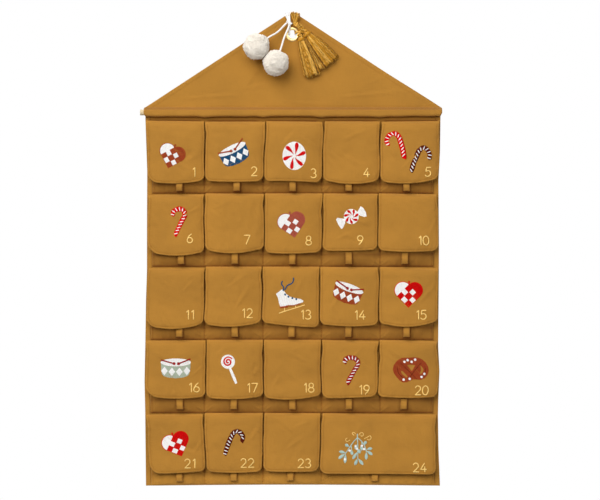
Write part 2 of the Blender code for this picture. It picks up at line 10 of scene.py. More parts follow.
import bpy
import numpy as np
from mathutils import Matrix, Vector


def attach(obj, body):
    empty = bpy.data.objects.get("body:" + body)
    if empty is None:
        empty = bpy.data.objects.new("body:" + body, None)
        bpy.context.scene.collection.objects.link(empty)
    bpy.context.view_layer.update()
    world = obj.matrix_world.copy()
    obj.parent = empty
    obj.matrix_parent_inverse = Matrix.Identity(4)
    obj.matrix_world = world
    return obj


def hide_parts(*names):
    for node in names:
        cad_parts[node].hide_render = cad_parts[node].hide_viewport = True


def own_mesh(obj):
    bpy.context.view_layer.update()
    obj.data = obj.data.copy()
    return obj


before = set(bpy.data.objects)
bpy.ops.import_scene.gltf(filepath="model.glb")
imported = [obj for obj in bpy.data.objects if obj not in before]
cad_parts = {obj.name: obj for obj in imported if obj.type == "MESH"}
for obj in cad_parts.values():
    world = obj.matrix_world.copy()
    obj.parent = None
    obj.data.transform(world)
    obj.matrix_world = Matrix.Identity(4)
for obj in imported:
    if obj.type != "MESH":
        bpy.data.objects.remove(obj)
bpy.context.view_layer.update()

# %% [markdown]
# ## The camera
# The calendar hangs flat and was seen straight on from far away. A long lens from more than five
# metres keeps the rows parallel, as they are in the photograph.

# %% Camera
VIEW_WIDTH = 1.2306
VIEW_CENTRE = (0.0158, -0.4422)
LENS = 160.0
SENSOR = 36.0

bpy.ops.object.select_all(action="DESELECT")
bpy.ops.object.camera_add(
    location=(VIEW_CENTRE[0], -VIEW_WIDTH * LENS / SENSOR, VIEW_CENTRE[1]),
    rotation=(math.radians(90), 0, 0),
)
camera = bpy.context.object
camera.name = "front_camera"
camera.data.lens = LENS
camera.data.sensor_width = SENSOR
camera.data.clip_end = 100
bpy.context.scene.camera = camera
print("camera at", [round(v, 3) for v in camera.location])

# %% [markdown]
# ## Places
# These are the maker's own measures, in metres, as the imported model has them. Depth is counted
# forwards from the wall, so a point at depth d has y = -d.

# %% Measures
HALF_WIDTH = 0.300
ROW_PITCH = 0.150
COLUMN_PITCH = 0.120
APEX = 0.046
APEX_WIDTH = 0.004
STITCH_LINE = -0.149
SLEEVE_FOOT = -0.168
FIRST_FLAP = -0.177
BODY_FOOT = -0.927
PANEL_FRONT = 0.0018
ROW_CELLS = ((1, 1, 1, 1, 1),) * 4 + ((1, 1, 1, 2),)
POCKET_FULLNESS = 0.0150
POCKET_MARGIN = 0.011
FLAP_DROP = 0.124
FLAP_CORNER = 0.018


def on_wall(x, depth, z):
    """The point of the frame at a depth in front of the wall."""
    return Vector((x, -depth, z))


def row_top(row):
    return FIRST_FLAP - ROW_PITCH * row


def cells():
    """Each flap's number with its row and the left and right edge of its pocket."""
    found = {}
    for row, spans in enumerate(ROW_CELLS):
        left = -HALF_WIDTH
        for columns in spans:
            found[len(found) + 1] = (row, left, left + columns * COLUMN_PITCH)
            left += columns * COLUMN_PITCH
    return found


CELLS = cells()
print(len(CELLS), "pockets, the last", round(CELLS[24][2] - CELLS[24][1], 3), "m wide")

# %% [markdown]
# ## Tubes for cords and threads
# A cord is a round section carried along a route. Real cord is laid from plies, so the section
# here has lobes that turn as it goes along. That gives the twisted look without any picture.

# %% A laid cord
def smooth_route(points, steps=6):
    """A smooth curve through the points of a route."""
    pts = [Vector(p) for p in points]
    route = []
    for i in range(len(pts) - 1):
        before, start = pts[max(i - 1, 0)], pts[i]
        end, after = pts[i + 1], pts[min(i + 2, len(pts) - 1)]
        for step in range(steps):
            t = step / steps
            route.append(0.5 * (
                2 * start + (end - before) * t
                + (2 * before - 5 * start + 4 * end - after) * t * t
                + (3 * start - before - 3 * end + after) * t ** 3
            ))
    return route + [pts[-1]]


def evenly(route, spacing):
    """The same route with its points an even distance apart."""
    line = np.array([tuple(p) for p in route])
    along = np.concatenate([[0], np.cumsum(np.linalg.norm(np.diff(line, axis=0), axis=1))])
    count = max(int(round(along[-1] / spacing)), 3)
    wanted = np.linspace(0, along[-1], count + 1)
    return np.stack([np.interp(wanted, along, line[:, k]) for k in range(3)], axis=1)


def route_frames(line):
    """Each point's two directions square to the route, carried along it without spinning."""
    tangents = np.gradient(line, axis=0)
    tangents /= np.linalg.norm(tangents, axis=1, keepdims=True)
    side = np.cross(tangents[0], (0.0, 1.0, 0.0))
    if np.linalg.norm(side) < 0.1:
        side = np.cross(tangents[0], (1.0, 0.0, 0.0))
    sides, ups = [], []
    for tangent in tangents:
        side = side - tangent * side.dot(tangent)
        side = side / np.linalg.norm(side)
        sides.append(side)
        ups.append(np.cross(tangent, side))
    return np.array(sides), np.array(ups)


def tube_shape(line, radius, sides=12, plies=0, lay=0.012, relief=0.16, ends=0.6):
    """Vertices, faces and lengthwise values of a laid cord; radius may change along it."""
    sideways, upwards = route_frames(line)
    count = len(line)
    along = np.concatenate([[0], np.cumsum(np.linalg.norm(np.diff(line, axis=0), axis=1))])
    radii = np.broadcast_to(np.asarray(radius, float), (count,)).copy()
    radii[0] *= ends
    radii[-1] *= ends
    angle = 2 * np.pi * np.arange(sides) / sides
    turn = angle[None, :] + (2 * np.pi * along / lay)[:, None]
    lobes = 1 - relief * (1 - np.abs(np.cos(turn * plies / 2))) if plies else 1.0
    reach = radii[:, None] * lobes
    points = (
        line[:, None, :]
        + reach[:, :, None] * np.cos(angle)[None, :, None] * sideways[:, None, :]
        + reach[:, :, None] * np.sin(angle)[None, :, None] * upwards[:, None, :]
    ).reshape(-1, 3)
    faces = []
    for i in range(count - 1):
        for j in range(sides):
            k = (j + 1) % sides
            faces.append((i * sides + j, i * sides + k, (i + 1) * sides + k, (i + 1) * sides + j))
    faces.append(tuple(range(sides))[::-1])
    faces.append(tuple((count - 1) * sides + j for j in range(sides)))
    return points, faces, np.repeat(along, sides)


def deselect():
    if bpy.context.object is not None and bpy.context.object.mode != "OBJECT":
        bpy.ops.object.mode_set(mode="OBJECT")
    bpy.ops.object.select_all(action="DESELECT")


def new_mesh(name, points, faces, materials, values=None, slots=None):
    """One mesh piece with its normals outward; values go to its 'along' attribute."""
    mesh = bpy.data.meshes.new(name)
    mesh.from_pydata([tuple(p) for p in points], [], faces)
    piece = bpy.data.objects.new(name, mesh)
    bpy.context.scene.collection.objects.link(piece)
    for material in materials:
        mesh.materials.append(material)
    if values is not None:
        mesh.attributes.new("along", "FLOAT", "POINT").data.foreach_set(
            "value", np.asarray(values, np.float32))
    if slots is not None:
        mesh.polygons.foreach_set("material_index", np.asarray(slots, np.int32))
    deselect()
    piece.select_set(True)
    bpy.context.view_layer.objects.active = piece
    bpy.ops.object.mode_set(mode="EDIT")
    bpy.ops.mesh.select_all(action="SELECT")
    bpy.ops.mesh.normals_make_consistent(inside=False)
    bpy.ops.object.mode_set(mode="OBJECT")
    bpy.ops.object.shade_smooth()
    return piece


def many_tubes(name, tubes, materials, slots=None, sides=5, **kind):
    """One piece of many threads; slots gives each thread its material."""
    points, faces, values, face_slots = [], [], [], []
    base = 0
    for number, (line, radius) in enumerate(tubes):
        got, shape, along = tube_shape(line, radius, sides=sides, **kind)
        points.append(got)
        values.append(along)
        faces += [tuple(v + base for v in face) for face in shape]
        face_slots += [slots[number] if slots is not None else 0] * len(shape)
        base += len(got)
    return new_mesh(name, np.concatenate(points), faces, materials, np.concatenate(values), face_slots)


print("tube helpers ready")

# %% [markdown]
# ## Finishes
# Each finish is a small graph of nodes. A helper adds a node, sets its sockets and links what feeds
# it, so that a graph reads like a list of what the surface is made of. Cloth reads its UV map, which
# is the flat cut measured in metres, so the weave keeps its size wherever the cloth bends.

# %% Node helper
class Finish:
    """A material whose shader is fed by a few named nodes."""

    def __init__(self, name, colour, roughness, **sockets):
        self.material = bpy.data.materials.new(name)
        self.material.use_nodes = True
        self.tree = self.material.node_tree
        self.shader = self.tree.nodes["Principled BSDF"]
        self.material.diffuse_color = (*colour, 1)
        self.set(self.shader, {"Base Color": (*colour, 1), "Roughness": roughness, **sockets})

    def set(self, node, sockets):
        for key, value in sockets.items():
            socket = node.inputs[key]
            if isinstance(value, bpy.types.NodeSocket):
                self.tree.links.new(value, socket)
            else:
                socket.default_value = value

    def node(self, kind, inputs=None, **settings):
        made = self.tree.nodes.new("ShaderNode" + kind)
        for key, value in settings.items():
            setattr(made, key, value)
        self.set(made, inputs or {})
        return made

    def math(self, operation, first, second=0.0):
        return self.node("Math", {0: first, 1: second}, operation=operation).outputs[0]

    def uv(self, scale=(1, 1, 1), turn=0.0):
        source = self.node("UVMap").outputs["UV"]
        return self.node("Mapping", {"Vector": source, "Scale": scale, "Rotation": (0, 0, turn)}).outputs[0]

    def place(self, scale=(1, 1, 1)):
        source = self.node("TexCoord").outputs["Object"]
        return self.node("Mapping", {"Vector": source, "Scale": scale}).outputs[0]

    def noise(self, vector, scale, detail=3.0, roughness=0.5):
        inputs = {"Vector": vector, "Scale": scale, "Detail": detail, "Roughness": roughness}
        return self.node("TexNoise", inputs).outputs["Fac"]

    def named(self, name):
        return self.node("Attribute", attribute_name=name).outputs["Fac"]

    def ramp(self, value, stops):
        made = self.node("ValToRGB", {"Fac": value})
        band = made.color_ramp.elements
        while len(band) < len(stops):
            band.new(0.5)
        for element, (position, colour) in zip(band, stops):
            element.position = position
            element.color = (*colour, 1)
        return made.outputs["Color"]

    def mix(self, share, first, second, blend="MIX"):
        made = self.node("Mix", data_type="RGBA", blend_type=blend)
        self.set(made, {0: share, 6: first, 7: second})
        return made.outputs[2]

    def bump(self, height, distance, strength=1.0):
        made = self.node("Bump", {"Height": height, "Distance": distance, "Strength": strength})
        self.set(self.shader, {"Normal": made.outputs["Normal"]})


def tones(colour, *levels):
    """A colour made darker and lighter, as stops for a ramp."""
    step = 1 / (len(levels) - 1)
    return [(i * step, tuple(min(c * level, 1.0) for c in colour)) for i, level in enumerate(levels)]


print("node helper ready")

# %% [markdown]
# ## Mustard canvas
# The calendar is a firm cotton canvas in plain weave. Two waves across each other give its threads,
# longer and shorter noise gives thick threads and the uneven dye, and sheen gives the fine fuzz that
# pales at a glancing angle. A point attribute paints light and shade into the colour. It lightens
# fold crests and edges as a painted highlight. It darkens seams, grooves, the gaps between flaps and
# the cloth under flaps, loops and the sleeve as painted shade, towards a reddish brown.

# %% Canvas
CANVAS_COLOUR = (0.498, 0.230, 0.0305)
THREAD_PITCH = 0.00085


def woven(name, colour):
    canvas = Finish(name, colour, 0.86, **{
        "Sheen Weight": 0.22, "Sheen Roughness": 0.45, "Sheen Tint": (1.0, 0.80, 0.52, 1),
        "Specular IOR Level": 0.28,
    })
    wave = 2 * math.pi / THREAD_PITCH
    across = canvas.node("SeparateXYZ", {0: canvas.uv((wave, wave, 1))})
    warp = canvas.math("SINE", across.outputs["X"])
    weft = canvas.math("SINE", across.outputs["Y"])
    weave = canvas.math("MULTIPLY", warp, weft)
    slub_up = canvas.noise(canvas.uv((1400, 45, 1)), 1.0, 2.0)
    slub_along = canvas.noise(canvas.uv((45, 1400, 1)), 1.0, 2.0)
    slubs = canvas.math("ADD", slub_up, slub_along)
    dye = canvas.noise(canvas.place((9, 9, 9)), 1.0, 4.0, 0.6)
    patch = canvas.ramp(dye, [(0.25, tuple(c * 0.90 for c in colour)), (0.5, colour),
                              (0.78, tuple(min(c * 1.08, 1) for c in colour))])
    threads = canvas.ramp(canvas.math("MULTIPLY", slubs, 0.5), [
        (0.28, (0.80, 0.79, 0.77)), (0.5, (0.99, 0.99, 0.99)), (0.75, (1.0, 1.0, 1.0))])
    toned = canvas.mix(0.55, patch, threads, "MULTIPLY")
    # painted light and shade: the attribute takes the colour down to a reddish brown for painted shade and up for a
    # painted highlight
    painted_shading = canvas.math("MULTIPLY_ADD", canvas.named("painted_shading"), 0.5)
    painted_shading.node.inputs[2].default_value = 0.5
    painted_shading_ramp = canvas.ramp(painted_shading, [(0.0, (0.42, 0.31, 0.20)), (0.5, (0.89, 0.89, 0.89)),
                                 (1.0, (1.0, 1.0, 0.98))])
    canvas.set(canvas.shader, {"Base Color": canvas.mix(1.0, toned, painted_shading_ramp, "MULTIPLY")})
    height = canvas.math("ADD", canvas.math("MULTIPLY", weave, 0.5), slubs)
    canvas.bump(height, 0.00022, 0.75)
    return canvas.material


CANVAS = woven("mustard_canvas", CANVAS_COLOUR)
print("canvas threads every", THREAD_PITCH * 1000, "mm")

# %% [markdown]
# ## Threads, yarn, brass and wood
# Sewing and embroidery threads are thin tubes, so the mesh gives their form and the finish only adds
# the twist: stripes that run slantwise round the tube, read from its lengthwise value. The gold
# numbers are spun with metal foil. Brass gets fine turning marks and the rod gets its grain.

# %% Threads
def thread_finish(name, colour, roughness=0.55, metal=0.0, lay=0.0011, variation=0.10, shine=0.06):
    thread = Finish(name, colour, roughness, **{
        "Metallic": metal, "Specular IOR Level": shine})
    twist = thread.math("SINE", thread.math("MULTIPLY", thread.named("along"), 2 * math.pi / lay))
    fleck = thread.noise(thread.place((420, 420, 420)), 1.0, 2.0)
    tone = thread.ramp(fleck, tones(colour, 1 - 2 * variation, 1.0, 1 + 1.5 * variation))
    thread.set(thread.shader, {"Base Color": tone})
    thread.bump(thread.math("ADD", twist, fleck), 0.00006, 0.8)
    return thread.material


THREADS = {
    "white": thread_finish("thread_white", (0.95, 0.945, 0.94), 0.5, variation=0.02),
    "red": thread_finish("thread_red", (0.66, 0.002, 0.003), 0.6),
    "wine": thread_finish("thread_wine", (0.34, 0.014, 0.012), 0.6),
    "brown": thread_finish("thread_brown", (0.105, 0.010, 0.004), 0.6),
    "rust": thread_finish("thread_rust", (0.37, 0.062, 0.019), 0.6),
    "terracotta": thread_finish("thread_terracotta", (0.44, 0.098, 0.062), 0.5),
    "blue": thread_finish("thread_blue", (0.008, 0.085, 0.200), 0.6),
    "sage": thread_finish("thread_sage", (0.46, 0.53, 0.43), 0.5),
    "mist": thread_finish("thread_mist", (0.47, 0.62, 0.58), 0.5),
    "gold": thread_finish("thread_gold", (0.88, 0.62, 0.21), 0.36, metal=0.25, variation=0.16, shine=0.22),
    "canvas": thread_finish("thread_canvas", (0.44, 0.195, 0.027), 0.7),
}
THREAD_SLOTS = list(THREADS)


def yarn_finish():
    colour = (0.985, 0.94, 0.865)
    yarn = Finish("cream_yarn", colour, 0.95, **{
        "Sheen Weight": 0.45, "Sheen Roughness": 0.5, "Specular IOR Level": 0.15})
    fleck = yarn.noise(yarn.place((160, 160, 160)), 1.0, 3.0)
    tone = yarn.ramp(fleck, tones(colour, 0.86, 1.0, 1.0))
    # painted shade: the yarn darkens where its lengthwise value is low, towards each tuft's root deep in the ball
    depth = yarn.ramp(yarn.named("along"), [(0.0, (0.86, 0.82, 0.78)), (0.7, (1, 1, 1))])
    yarn.set(yarn.shader, {"Base Color": yarn.mix(1.0, tone, depth, "MULTIPLY")})
    yarn.bump(yarn.noise(yarn.place((1500, 1500, 1500)), 1.0, 2.0), 0.0002, 0.6)
    return yarn.material


def brass_finish():
    brass = Finish("spun_brass", (0.76, 0.56, 0.25), 0.28, **{"Metallic": 1.0})
    rings = brass.node("VectorMath", {0: brass.place((1, 0, 1))}, operation="LENGTH").outputs["Value"]
    turning = brass.math("SINE", brass.math("MULTIPLY", rings, 16000.0))
    scuff = brass.noise(brass.place((700, 700, 700)), 1.0, 4.0)
    rough = brass.node("MapRange", {0: scuff, 3: 0.17, 4: 0.36}).outputs[0]
    tone = brass.ramp(scuff, tones((0.76, 0.56, 0.25), 0.86, 1.0, 1.06))
    brass.set(brass.shader, {"Roughness": rough, "Base Color": tone})
    brass.bump(brass.math("ADD", turning, scuff), 0.00002, 0.5)
    return brass.material


def wood_finish():
    colour = (0.74, 0.58, 0.34)
    wood = Finish("pale_wood", colour, 0.6, **{"Specular IOR Level": 0.35})
    grain = wood.noise(wood.place((14, 700, 700)), 1.0, 4.0, 0.6)
    rings = wood.node("TexWave", {"Vector": wood.place((2, 130, 130)), "Scale": 1.0, "Distortion": 5.0,
                                  "Detail": 3.0}, wave_type="RINGS", rings_direction="X")
    both = wood.math("ADD", wood.math("MULTIPLY", grain, 0.6), wood.math("MULTIPLY", rings.outputs["Fac"], 0.4))
    tone = wood.ramp(both, tones(colour, 0.66, 0.96, 1.10))
    wood.set(wood.shader, {"Base Color": tone})
    wood.bump(grain, 0.0002, 0.4)
    return wood.material


YARN = yarn_finish()
BRASS = brass_finish()
WOOD = wood_finish()
WHITE_CORD = thread_finish("cotton_cord", (0.95, 0.945, 0.93), 0.7, lay=0.003, variation=0.03)
TASSEL_THREAD = thread_finish("tassel_thread", (0.60, 0.285, 0.020), 0.5, variation=0.25, shine=0.22)
TASSEL_GOLD = thread_finish("tassel_gold", (0.84, 0.51, 0.10), 0.40, metal=0.3, variation=0.2, shine=0.4)
# dark threads mixed in as painted shade: they stand for the dark gaps between the strands
TASSEL_SHADE_THREAD = thread_finish("tassel_dark", (0.20, 0.080, 0.010), 0.6, variation=0.25, shine=0.22)
print(len(THREADS), "embroidery threads")

# %% [markdown]
# ## Cutting cloth
# A cloth starts as a flat grid, cut to size, whose UV map is the cut itself. Its grid lines lie
# closer together near the edges, where the hems are. It is then draped by moving its points, given
# its thickness by Solidify, and its edges are rounded because the thickness fades out there.

# %% Cloth helpers
HEM_LINES = (0.0, 0.0004, 0.0010, 0.0018, 0.0028, 0.0036, 0.0043, 0.0052)


def grid_lines(low, high, step, hem_low=True, hem_high=True):
    """Places of grid lines from low to high, closer together at a hemmed end."""
    start = low + (HEM_LINES[-1] if hem_low else 0.0)
    stop = high - (HEM_LINES[-1] if hem_high else 0.0)
    count = max(int(round((stop - start) / step)), 2)
    lines = list(np.linspace(start, stop, count + 1))
    if hem_low:
        lines = [low + d for d in HEM_LINES[:-1]] + lines
    if hem_high:
        lines += [high - d for d in HEM_LINES[:-1]][::-1]
    return np.array(lines)


def cut_cloth(name, across, down):
    """A flat grid with these lines, and each vertex's place in the cut: across it and down it."""
    deselect()
    bpy.ops.mesh.primitive_grid_add(x_subdivisions=len(across) - 1, y_subdivisions=len(down) - 1, size=1)
    cloth = bpy.context.object
    cloth.name = cloth.data.name = name
    mesh = cloth.data
    flat = np.empty(len(mesh.vertices) * 3)
    mesh.vertices.foreach_get("co", flat)
    flat = flat.reshape(-1, 3)
    column = np.rint((flat[:, 0] + 0.5) * (len(across) - 1)).astype(int)
    line = np.rint((0.5 - flat[:, 1]) * (len(down) - 1)).astype(int)
    u, v = across[column], down[line]
    corner = np.empty(len(mesh.loops), int)
    mesh.loops.foreach_get("vertex_index", corner)
    cut = np.stack([u[corner], -v[corner]], axis=1)
    mesh.uv_layers[0].data.foreach_set("uv", cut.ravel())
    return cloth, u, v


def drape(cloth, x, depth, z):
    points = np.stack([x, -depth, z], axis=1)
    cloth.data.vertices.foreach_set("co", points.ravel())
    cloth.data.update()


def weigh_cloth(cloth, fullness, painted_shading):
    """Note for each point how much of the cloth's thickness it has, and how much painted shade or painted highlight
    its colour gets.
    """
    weights = np.round(np.clip(fullness, 0.02, 1.0), 2)
    group = cloth.vertex_groups.new(name="fullness")
    for level in np.unique(weights):
        group.add([int(i) for i in np.nonzero(weights == level)[0]], float(level), "REPLACE")
    values = np.array(np.broadcast_to(painted_shading, weights.shape), np.float32)
    cloth.data.attributes.new("painted_shading", "FLOAT", "POINT").data.foreach_set("value", values)


def thicken_cloth(cloth, thickness, material=None, body="panel"):
    """Give a draped cloth its thickness, its finish and the body that it rides on."""
    deselect()
    cloth.select_set(True)
    bpy.context.view_layer.objects.active = cloth
    solid = cloth.modifiers.new("thickness", "SOLIDIFY")
    solid.thickness = thickness
    solid.offset = 0.0
    solid.vertex_group = "fullness"
    bpy.ops.object.modifier_apply(modifier=solid.name)
    cloth.vertex_groups.clear()
    cloth.data.materials.append(material or CANVAS)
    bpy.ops.object.shade_smooth()
    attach(cloth, body)
    return cloth


def bell(distance, width):
    return np.exp(-(distance / width) ** 2)


def rounded(distance, reach):
    """0 at an edge and 1 from reach inwards, along a quarter circle."""
    t = np.clip(distance / reach, 0.0, 1.0)
    return np.sqrt(np.clip(1 - (1 - t) ** 2, 0.0, 1.0))


def soft(t):
    t = np.clip(t, 0.0, 1.0)
    return t * t * (3 - 2 * t)


def ripples(x, z, seed, length, stretch=1.0, turns=7):
    """A smooth, uneven field of about -1 to 1, with folds about one length apart."""
    rng = np.random.default_rng(seed)
    total = np.zeros_like(x, dtype=float)
    for _ in range(turns):
        angle = rng.uniform(0, 2 * np.pi)
        wave = 2 * np.pi / length * rng.uniform(0.55, 1.5)
        total += np.sin(wave * (x * np.cos(angle) / stretch + z * np.sin(angle)) + rng.uniform(0, 6.3))
    return total / turns * 1.6


def crease(x, z, at, heading, length, width, height):
    """A soft fold from a point, running at a heading in degrees, with a valley beside it."""
    c, s = math.cos(math.radians(heading)), math.sin(math.radians(heading))
    along = (x - at[0]) * c + (z - at[1]) * s
    across = -(x - at[0]) * s + (z - at[1]) * c
    spread = width * (0.6 + 0.8 * np.clip(along / length, 0, 1.5))
    fade = soft((along + 0.15 * length) / (0.3 * length)) * soft((1.25 * length - along) / (0.8 * length))
    return height * fade * (bell(across, spread) - 0.5 * bell(across - 1.6 * spread, spread))


LEFT_SWAY = ((-0.13, 0.0), (-0.175, -0.0012), (-0.28, 0.0025), (-0.40, 0.002), (-0.485, 0.002),
             (-0.545, 0.0), (-0.64, -0.0015), (-0.71, -0.003), (-0.77, -0.0017), (-0.93, 0.0))
RIGHT_SWAY = ((-0.16, 0.004), (-0.24, 0.0029), (-0.30, -0.0002), (-0.44, 0.0008), (-0.55, 0.0),
              (-0.64, -0.0008), (-0.69, 0.0018), (-0.75, -0.0006), (-0.78, -0.0012), (-0.85, -0.0002),
              (-0.93, 0.0029))


def sway(x, z):
    """How far the hanging cloth's sides wander from straight."""
    def side(table):
        heights = [-h for h, _ in table]
        return np.interp(-z, heights, [value for _, value in table])
    left = soft((-x - 0.17) / 0.12) * side(LEFT_SWAY)
    right = soft((x - 0.17) / 0.12) * side(RIGHT_SWAY)
    return left + right


print("hem lines at", [round(1000 * d, 1) for d in HEM_LINES], "mm")

# %% [markdown]
# ## Light, background and floor
# One broad soft lamp stands at the upper left, as in the photograph. A weak one fills from the right,
# a third lights the back, and the world fills the shadows. The levels add up so that a cloth facing
# the camera shows about the colour that it was given. The white ground is only what the camera and
# shiny metal see; it doesn't light the cloth.

# %% Studio
FLOOR = -1.80
scene = bpy.context.scene
scene.view_settings.view_transform = "Standard"


def area_light(name, place, target, size, power, colour):
    deselect()
    heading = Vector(target) - Vector(place)
    bpy.ops.object.light_add(
        type="AREA", location=place, rotation=heading.to_track_quat("-Z", "Y").to_euler())
    light = bpy.context.object
    light.name = name
    light.data.size = size
    light.data.energy = power
    light.data.color = colour
    return light


def white_ground(high, low):
    """A world whose soft light fades from above to below, and is white where it is looked at."""
    world = bpy.data.worlds.new("studio")
    scene.world = world
    world.use_nodes = True
    tree = world.node_tree
    fill = tree.nodes["Background"]
    fill.inputs["Color"].default_value = (1.0, 0.985, 0.96, 1)
    place = tree.nodes.new("ShaderNodeTexCoord")
    parts = tree.nodes.new("ShaderNodeSeparateXYZ")
    fade = tree.nodes.new("ShaderNodeMapRange")
    tree.links.new(place.outputs["Generated"], parts.inputs[0])
    tree.links.new(parts.outputs["Z"], fade.inputs["Value"])
    for socket, value in (("From Min", -0.5), ("From Max", 0.5), ("To Min", low), ("To Max", high)):
        fade.inputs[socket].default_value = value
    tree.links.new(fade.outputs["Result"], fill.inputs["Strength"])
    white = tree.nodes.new("ShaderNodeBackground")
    white.inputs["Strength"].default_value = 1.0
    white.inputs["Color"].default_value = (1, 1, 1, 1)
    rays = tree.nodes.new("ShaderNodeLightPath")
    seen = rays.outputs["Is Camera Ray"]
    for other in ("Is Glossy Ray", "Is Transmission Ray"):
        either = tree.nodes.new("ShaderNodeMath")
        either.operation = "MAXIMUM"
        tree.links.new(seen, either.inputs[0])
        tree.links.new(rays.outputs[other], either.inputs[1])
        seen = either.outputs[0]
    mix = tree.nodes.new("ShaderNodeMixShader")
    tree.links.new(seen, mix.inputs[0])
    tree.links.new(fill.outputs[0], mix.inputs[1])
    tree.links.new(white.outputs[0], mix.inputs[2])
    tree.links.new(mix.outputs[0], tree.nodes["World Output"].inputs[0])


white_ground(0.25, 0.08)
area_light("key_light", (-1.9, -3.9, 2.3), (0.0, 0.0, -0.45), 4.2, 284.0, (1.0, 0.985, 0.96))
area_light("fill_light", (2.2, -3.8, 0.9), (0.0, 0.0, -0.45), 2.4, 41.0, (0.97, 0.985, 1.0))
area_light("rear_light", (1.5, 3.6, 1.4), (0.0, 0.0, -0.45), 3.0, 150.0, (1.0, 0.99, 0.97))

floor_finish = Finish("pale_floor", (0.83, 0.82, 0.80), 0.7)
grain = floor_finish.noise(floor_finish.place((3, 3, 3)), 1.0, 5.0)
floor_finish.set(floor_finish.shader, {
    "Base Color": floor_finish.ramp(grain, tones((0.83, 0.82, 0.80), 0.975, 1.0, 1.015))})
deselect()
bpy.ops.mesh.primitive_circle_add(vertices=96, radius=1.1, fill_type="NGON", location=(0, 0, FLOOR))
floor = bpy.context.object
floor.name = "floor"
bpy.ops.object.transform_apply(location=True, rotation=True, scale=True)
floor.data.materials.append(floor_finish.material)

# %% [markdown]
# ## The cords of the pom-poms
# Each pom-pom hangs on a soft white cotton cord, 4 mm thick, from a knot beside the eyelet. Its whole
# length shows in the photograph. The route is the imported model's own: straight out of the knot, a
# slight bow, and straight into the yarn.

# %% Pom-pom cords
KNOT_DEPTH = 0.0095
CORD_DIAMETER = 0.004
WHITE_KNOT = 0.0042
POMPOMS = {
    "left": {"knot": (-0.0080, 0.0250), "place": (-0.0726, -0.0275), "radius": 0.0270, "bow": 0.7},
    "right": {"knot": (-0.0045, 0.0220), "place": (-0.0338, -0.0609), "radius": 0.0265, "bow": -0.3},
}
LUMPS = 0.02


def lump(way):
    """How the trimmed yarn stands out or in, in a direction from the pom-pom's middle."""
    return 1 + LUMPS * math.sin(5 * way.x + 2 * way.z) * math.cos(6 * way.z - 3 * way.y)


def cord_route(knot, centre, radius, bow):
    way = (centre - knot).normalized()
    side = way.cross(Vector((0.0, 1.0, 0.0))).normalized()
    start = knot + way * (WHITE_KNOT + 0.0003)
    end = centre - way * (radius * lump(-way) + 0.0003)
    return [
        start.lerp(end, i / 24) + side * math.sin(math.pi * i / 24) ** 2 * bow * CORD_DIAMETER
        for i in range(25)
    ]


for side, kit in POMPOMS.items():
    kit["at"] = on_wall(*(kit["knot"][0], KNOT_DEPTH, kit["knot"][1]))
    kit["centre"] = on_wall(kit["place"][0], 0.0033 + kit["radius"] * (1 + LUMPS), kit["place"][1])
    route = cord_route(kit["at"], kit["centre"], kit["radius"], kit["bow"])
    line = evenly(route, 0.0012)
    points, faces, along = tube_shape(
        line, CORD_DIAMETER / 2, sides=18, plies=3, lay=0.011, relief=0.20, ends=0.8)
    cord = new_mesh("pompom_cord_" + side + "_laid", points, faces, [WHITE_CORD], along)
    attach(cord, "pompom_" + side)
    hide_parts("pompom_cord_" + side)
    kit["route"] = route

# %% [markdown]
# ## The back cloth
# The calendar is built on one plain cloth: a body with a gable on top. Its side edges are turned
# forwards twice and stitched, which leaves a raised hem 10 mm wide, pressed flat wherever a row of
# pockets is sewn across it. The sides of such a hanging cloth are never quite straight, so a small
# sway, read off the photograph, is added to it and to all that is sewn to it.

# %% Back cloth
BACK_CLOTH = 0.0015
EYELET_GAP = 0.0102
HEM_WIDTH = 0.010
SLOPE_SHARE = 0.547
ROW_TOPS = np.array([row_top(row) for row in range(6)])


def half_width(z):
    """Half of the calendar's width at a height, down the gable's slopes."""
    slope = (HALF_WIDTH - APEX_WIDTH / 2) / (APEX - STITCH_LINE)
    return np.minimum(APEX_WIDTH / 2 + slope * (APEX - z), HALF_WIDTH)


def blunt(z):
    """The cords press the peak down, so it is lower and rounder than it was cut."""
    return z - 0.5 * np.maximum(z - 0.038, 0.0)


def set_cut(cloth, u, v):
    """Give the cloth its UV map: the flat place of each vertex, in metres."""
    mesh = cloth.data
    corner = np.empty(len(mesh.loops), int)
    mesh.loops.foreach_get("vertex_index", corner)
    mesh.uv_layers[0].data.foreach_set("uv", np.stack([u[corner], v[corner]], axis=1).ravel())


def cut_eyelet_hole(cloth):
    """Take out the faces inside the eyelet; its flange covers the cut."""
    deselect()
    cloth.select_set(True)
    bpy.context.view_layer.objects.active = cloth
    bpy.ops.object.mode_set(mode="EDIT")
    bpy.ops.mesh.select_mode(type="FACE")
    bpy.ops.mesh.select_all(action="DESELECT")
    bpy.ops.object.mode_set(mode="OBJECT")
    for polygon in cloth.data.polygons:
        corners = [cloth.data.vertices[i].co for i in polygon.vertices]
        polygon.select = min(math.hypot(c.x, c.z) for c in corners) < EYELET_GAP
    bpy.ops.object.mode_set(mode="EDIT")
    bpy.ops.mesh.delete(type="FACE")
    bpy.ops.object.mode_set(mode="OBJECT")


def row_distance(z):
    """Distance to the nearest seam between two rows."""
    return np.abs(np.asarray(z)[..., None] - ROW_TOPS).min(axis=-1)


def foot_lift(x, z):
    """The hanging cloth is a little short at its foot, most of all in the middle."""
    middle = np.cos(np.clip(x / HALF_WIDTH, -1, 1) * np.pi / 2)
    return soft((-0.80 - z) / 0.12) * (0.0016 + 0.0021 * middle)


def sleeve_dips(x):
    """Where the column seams pull at the sleeve's foot."""
    return bell(np.asarray(x)[:, None] - SLEEVE_DIPS, 0.011).sum(axis=1)


def under_gap(x, z):
    """The shade that lies between two flaps, on the cloth behind them."""
    inner = np.linspace(-HALF_WIDTH, HALF_WIDTH, 6)[1:-1]
    return bell(np.asarray(x)[:, None] - inner, 0.0032).sum(axis=1) * (z < FIRST_FLAP - 0.0020)


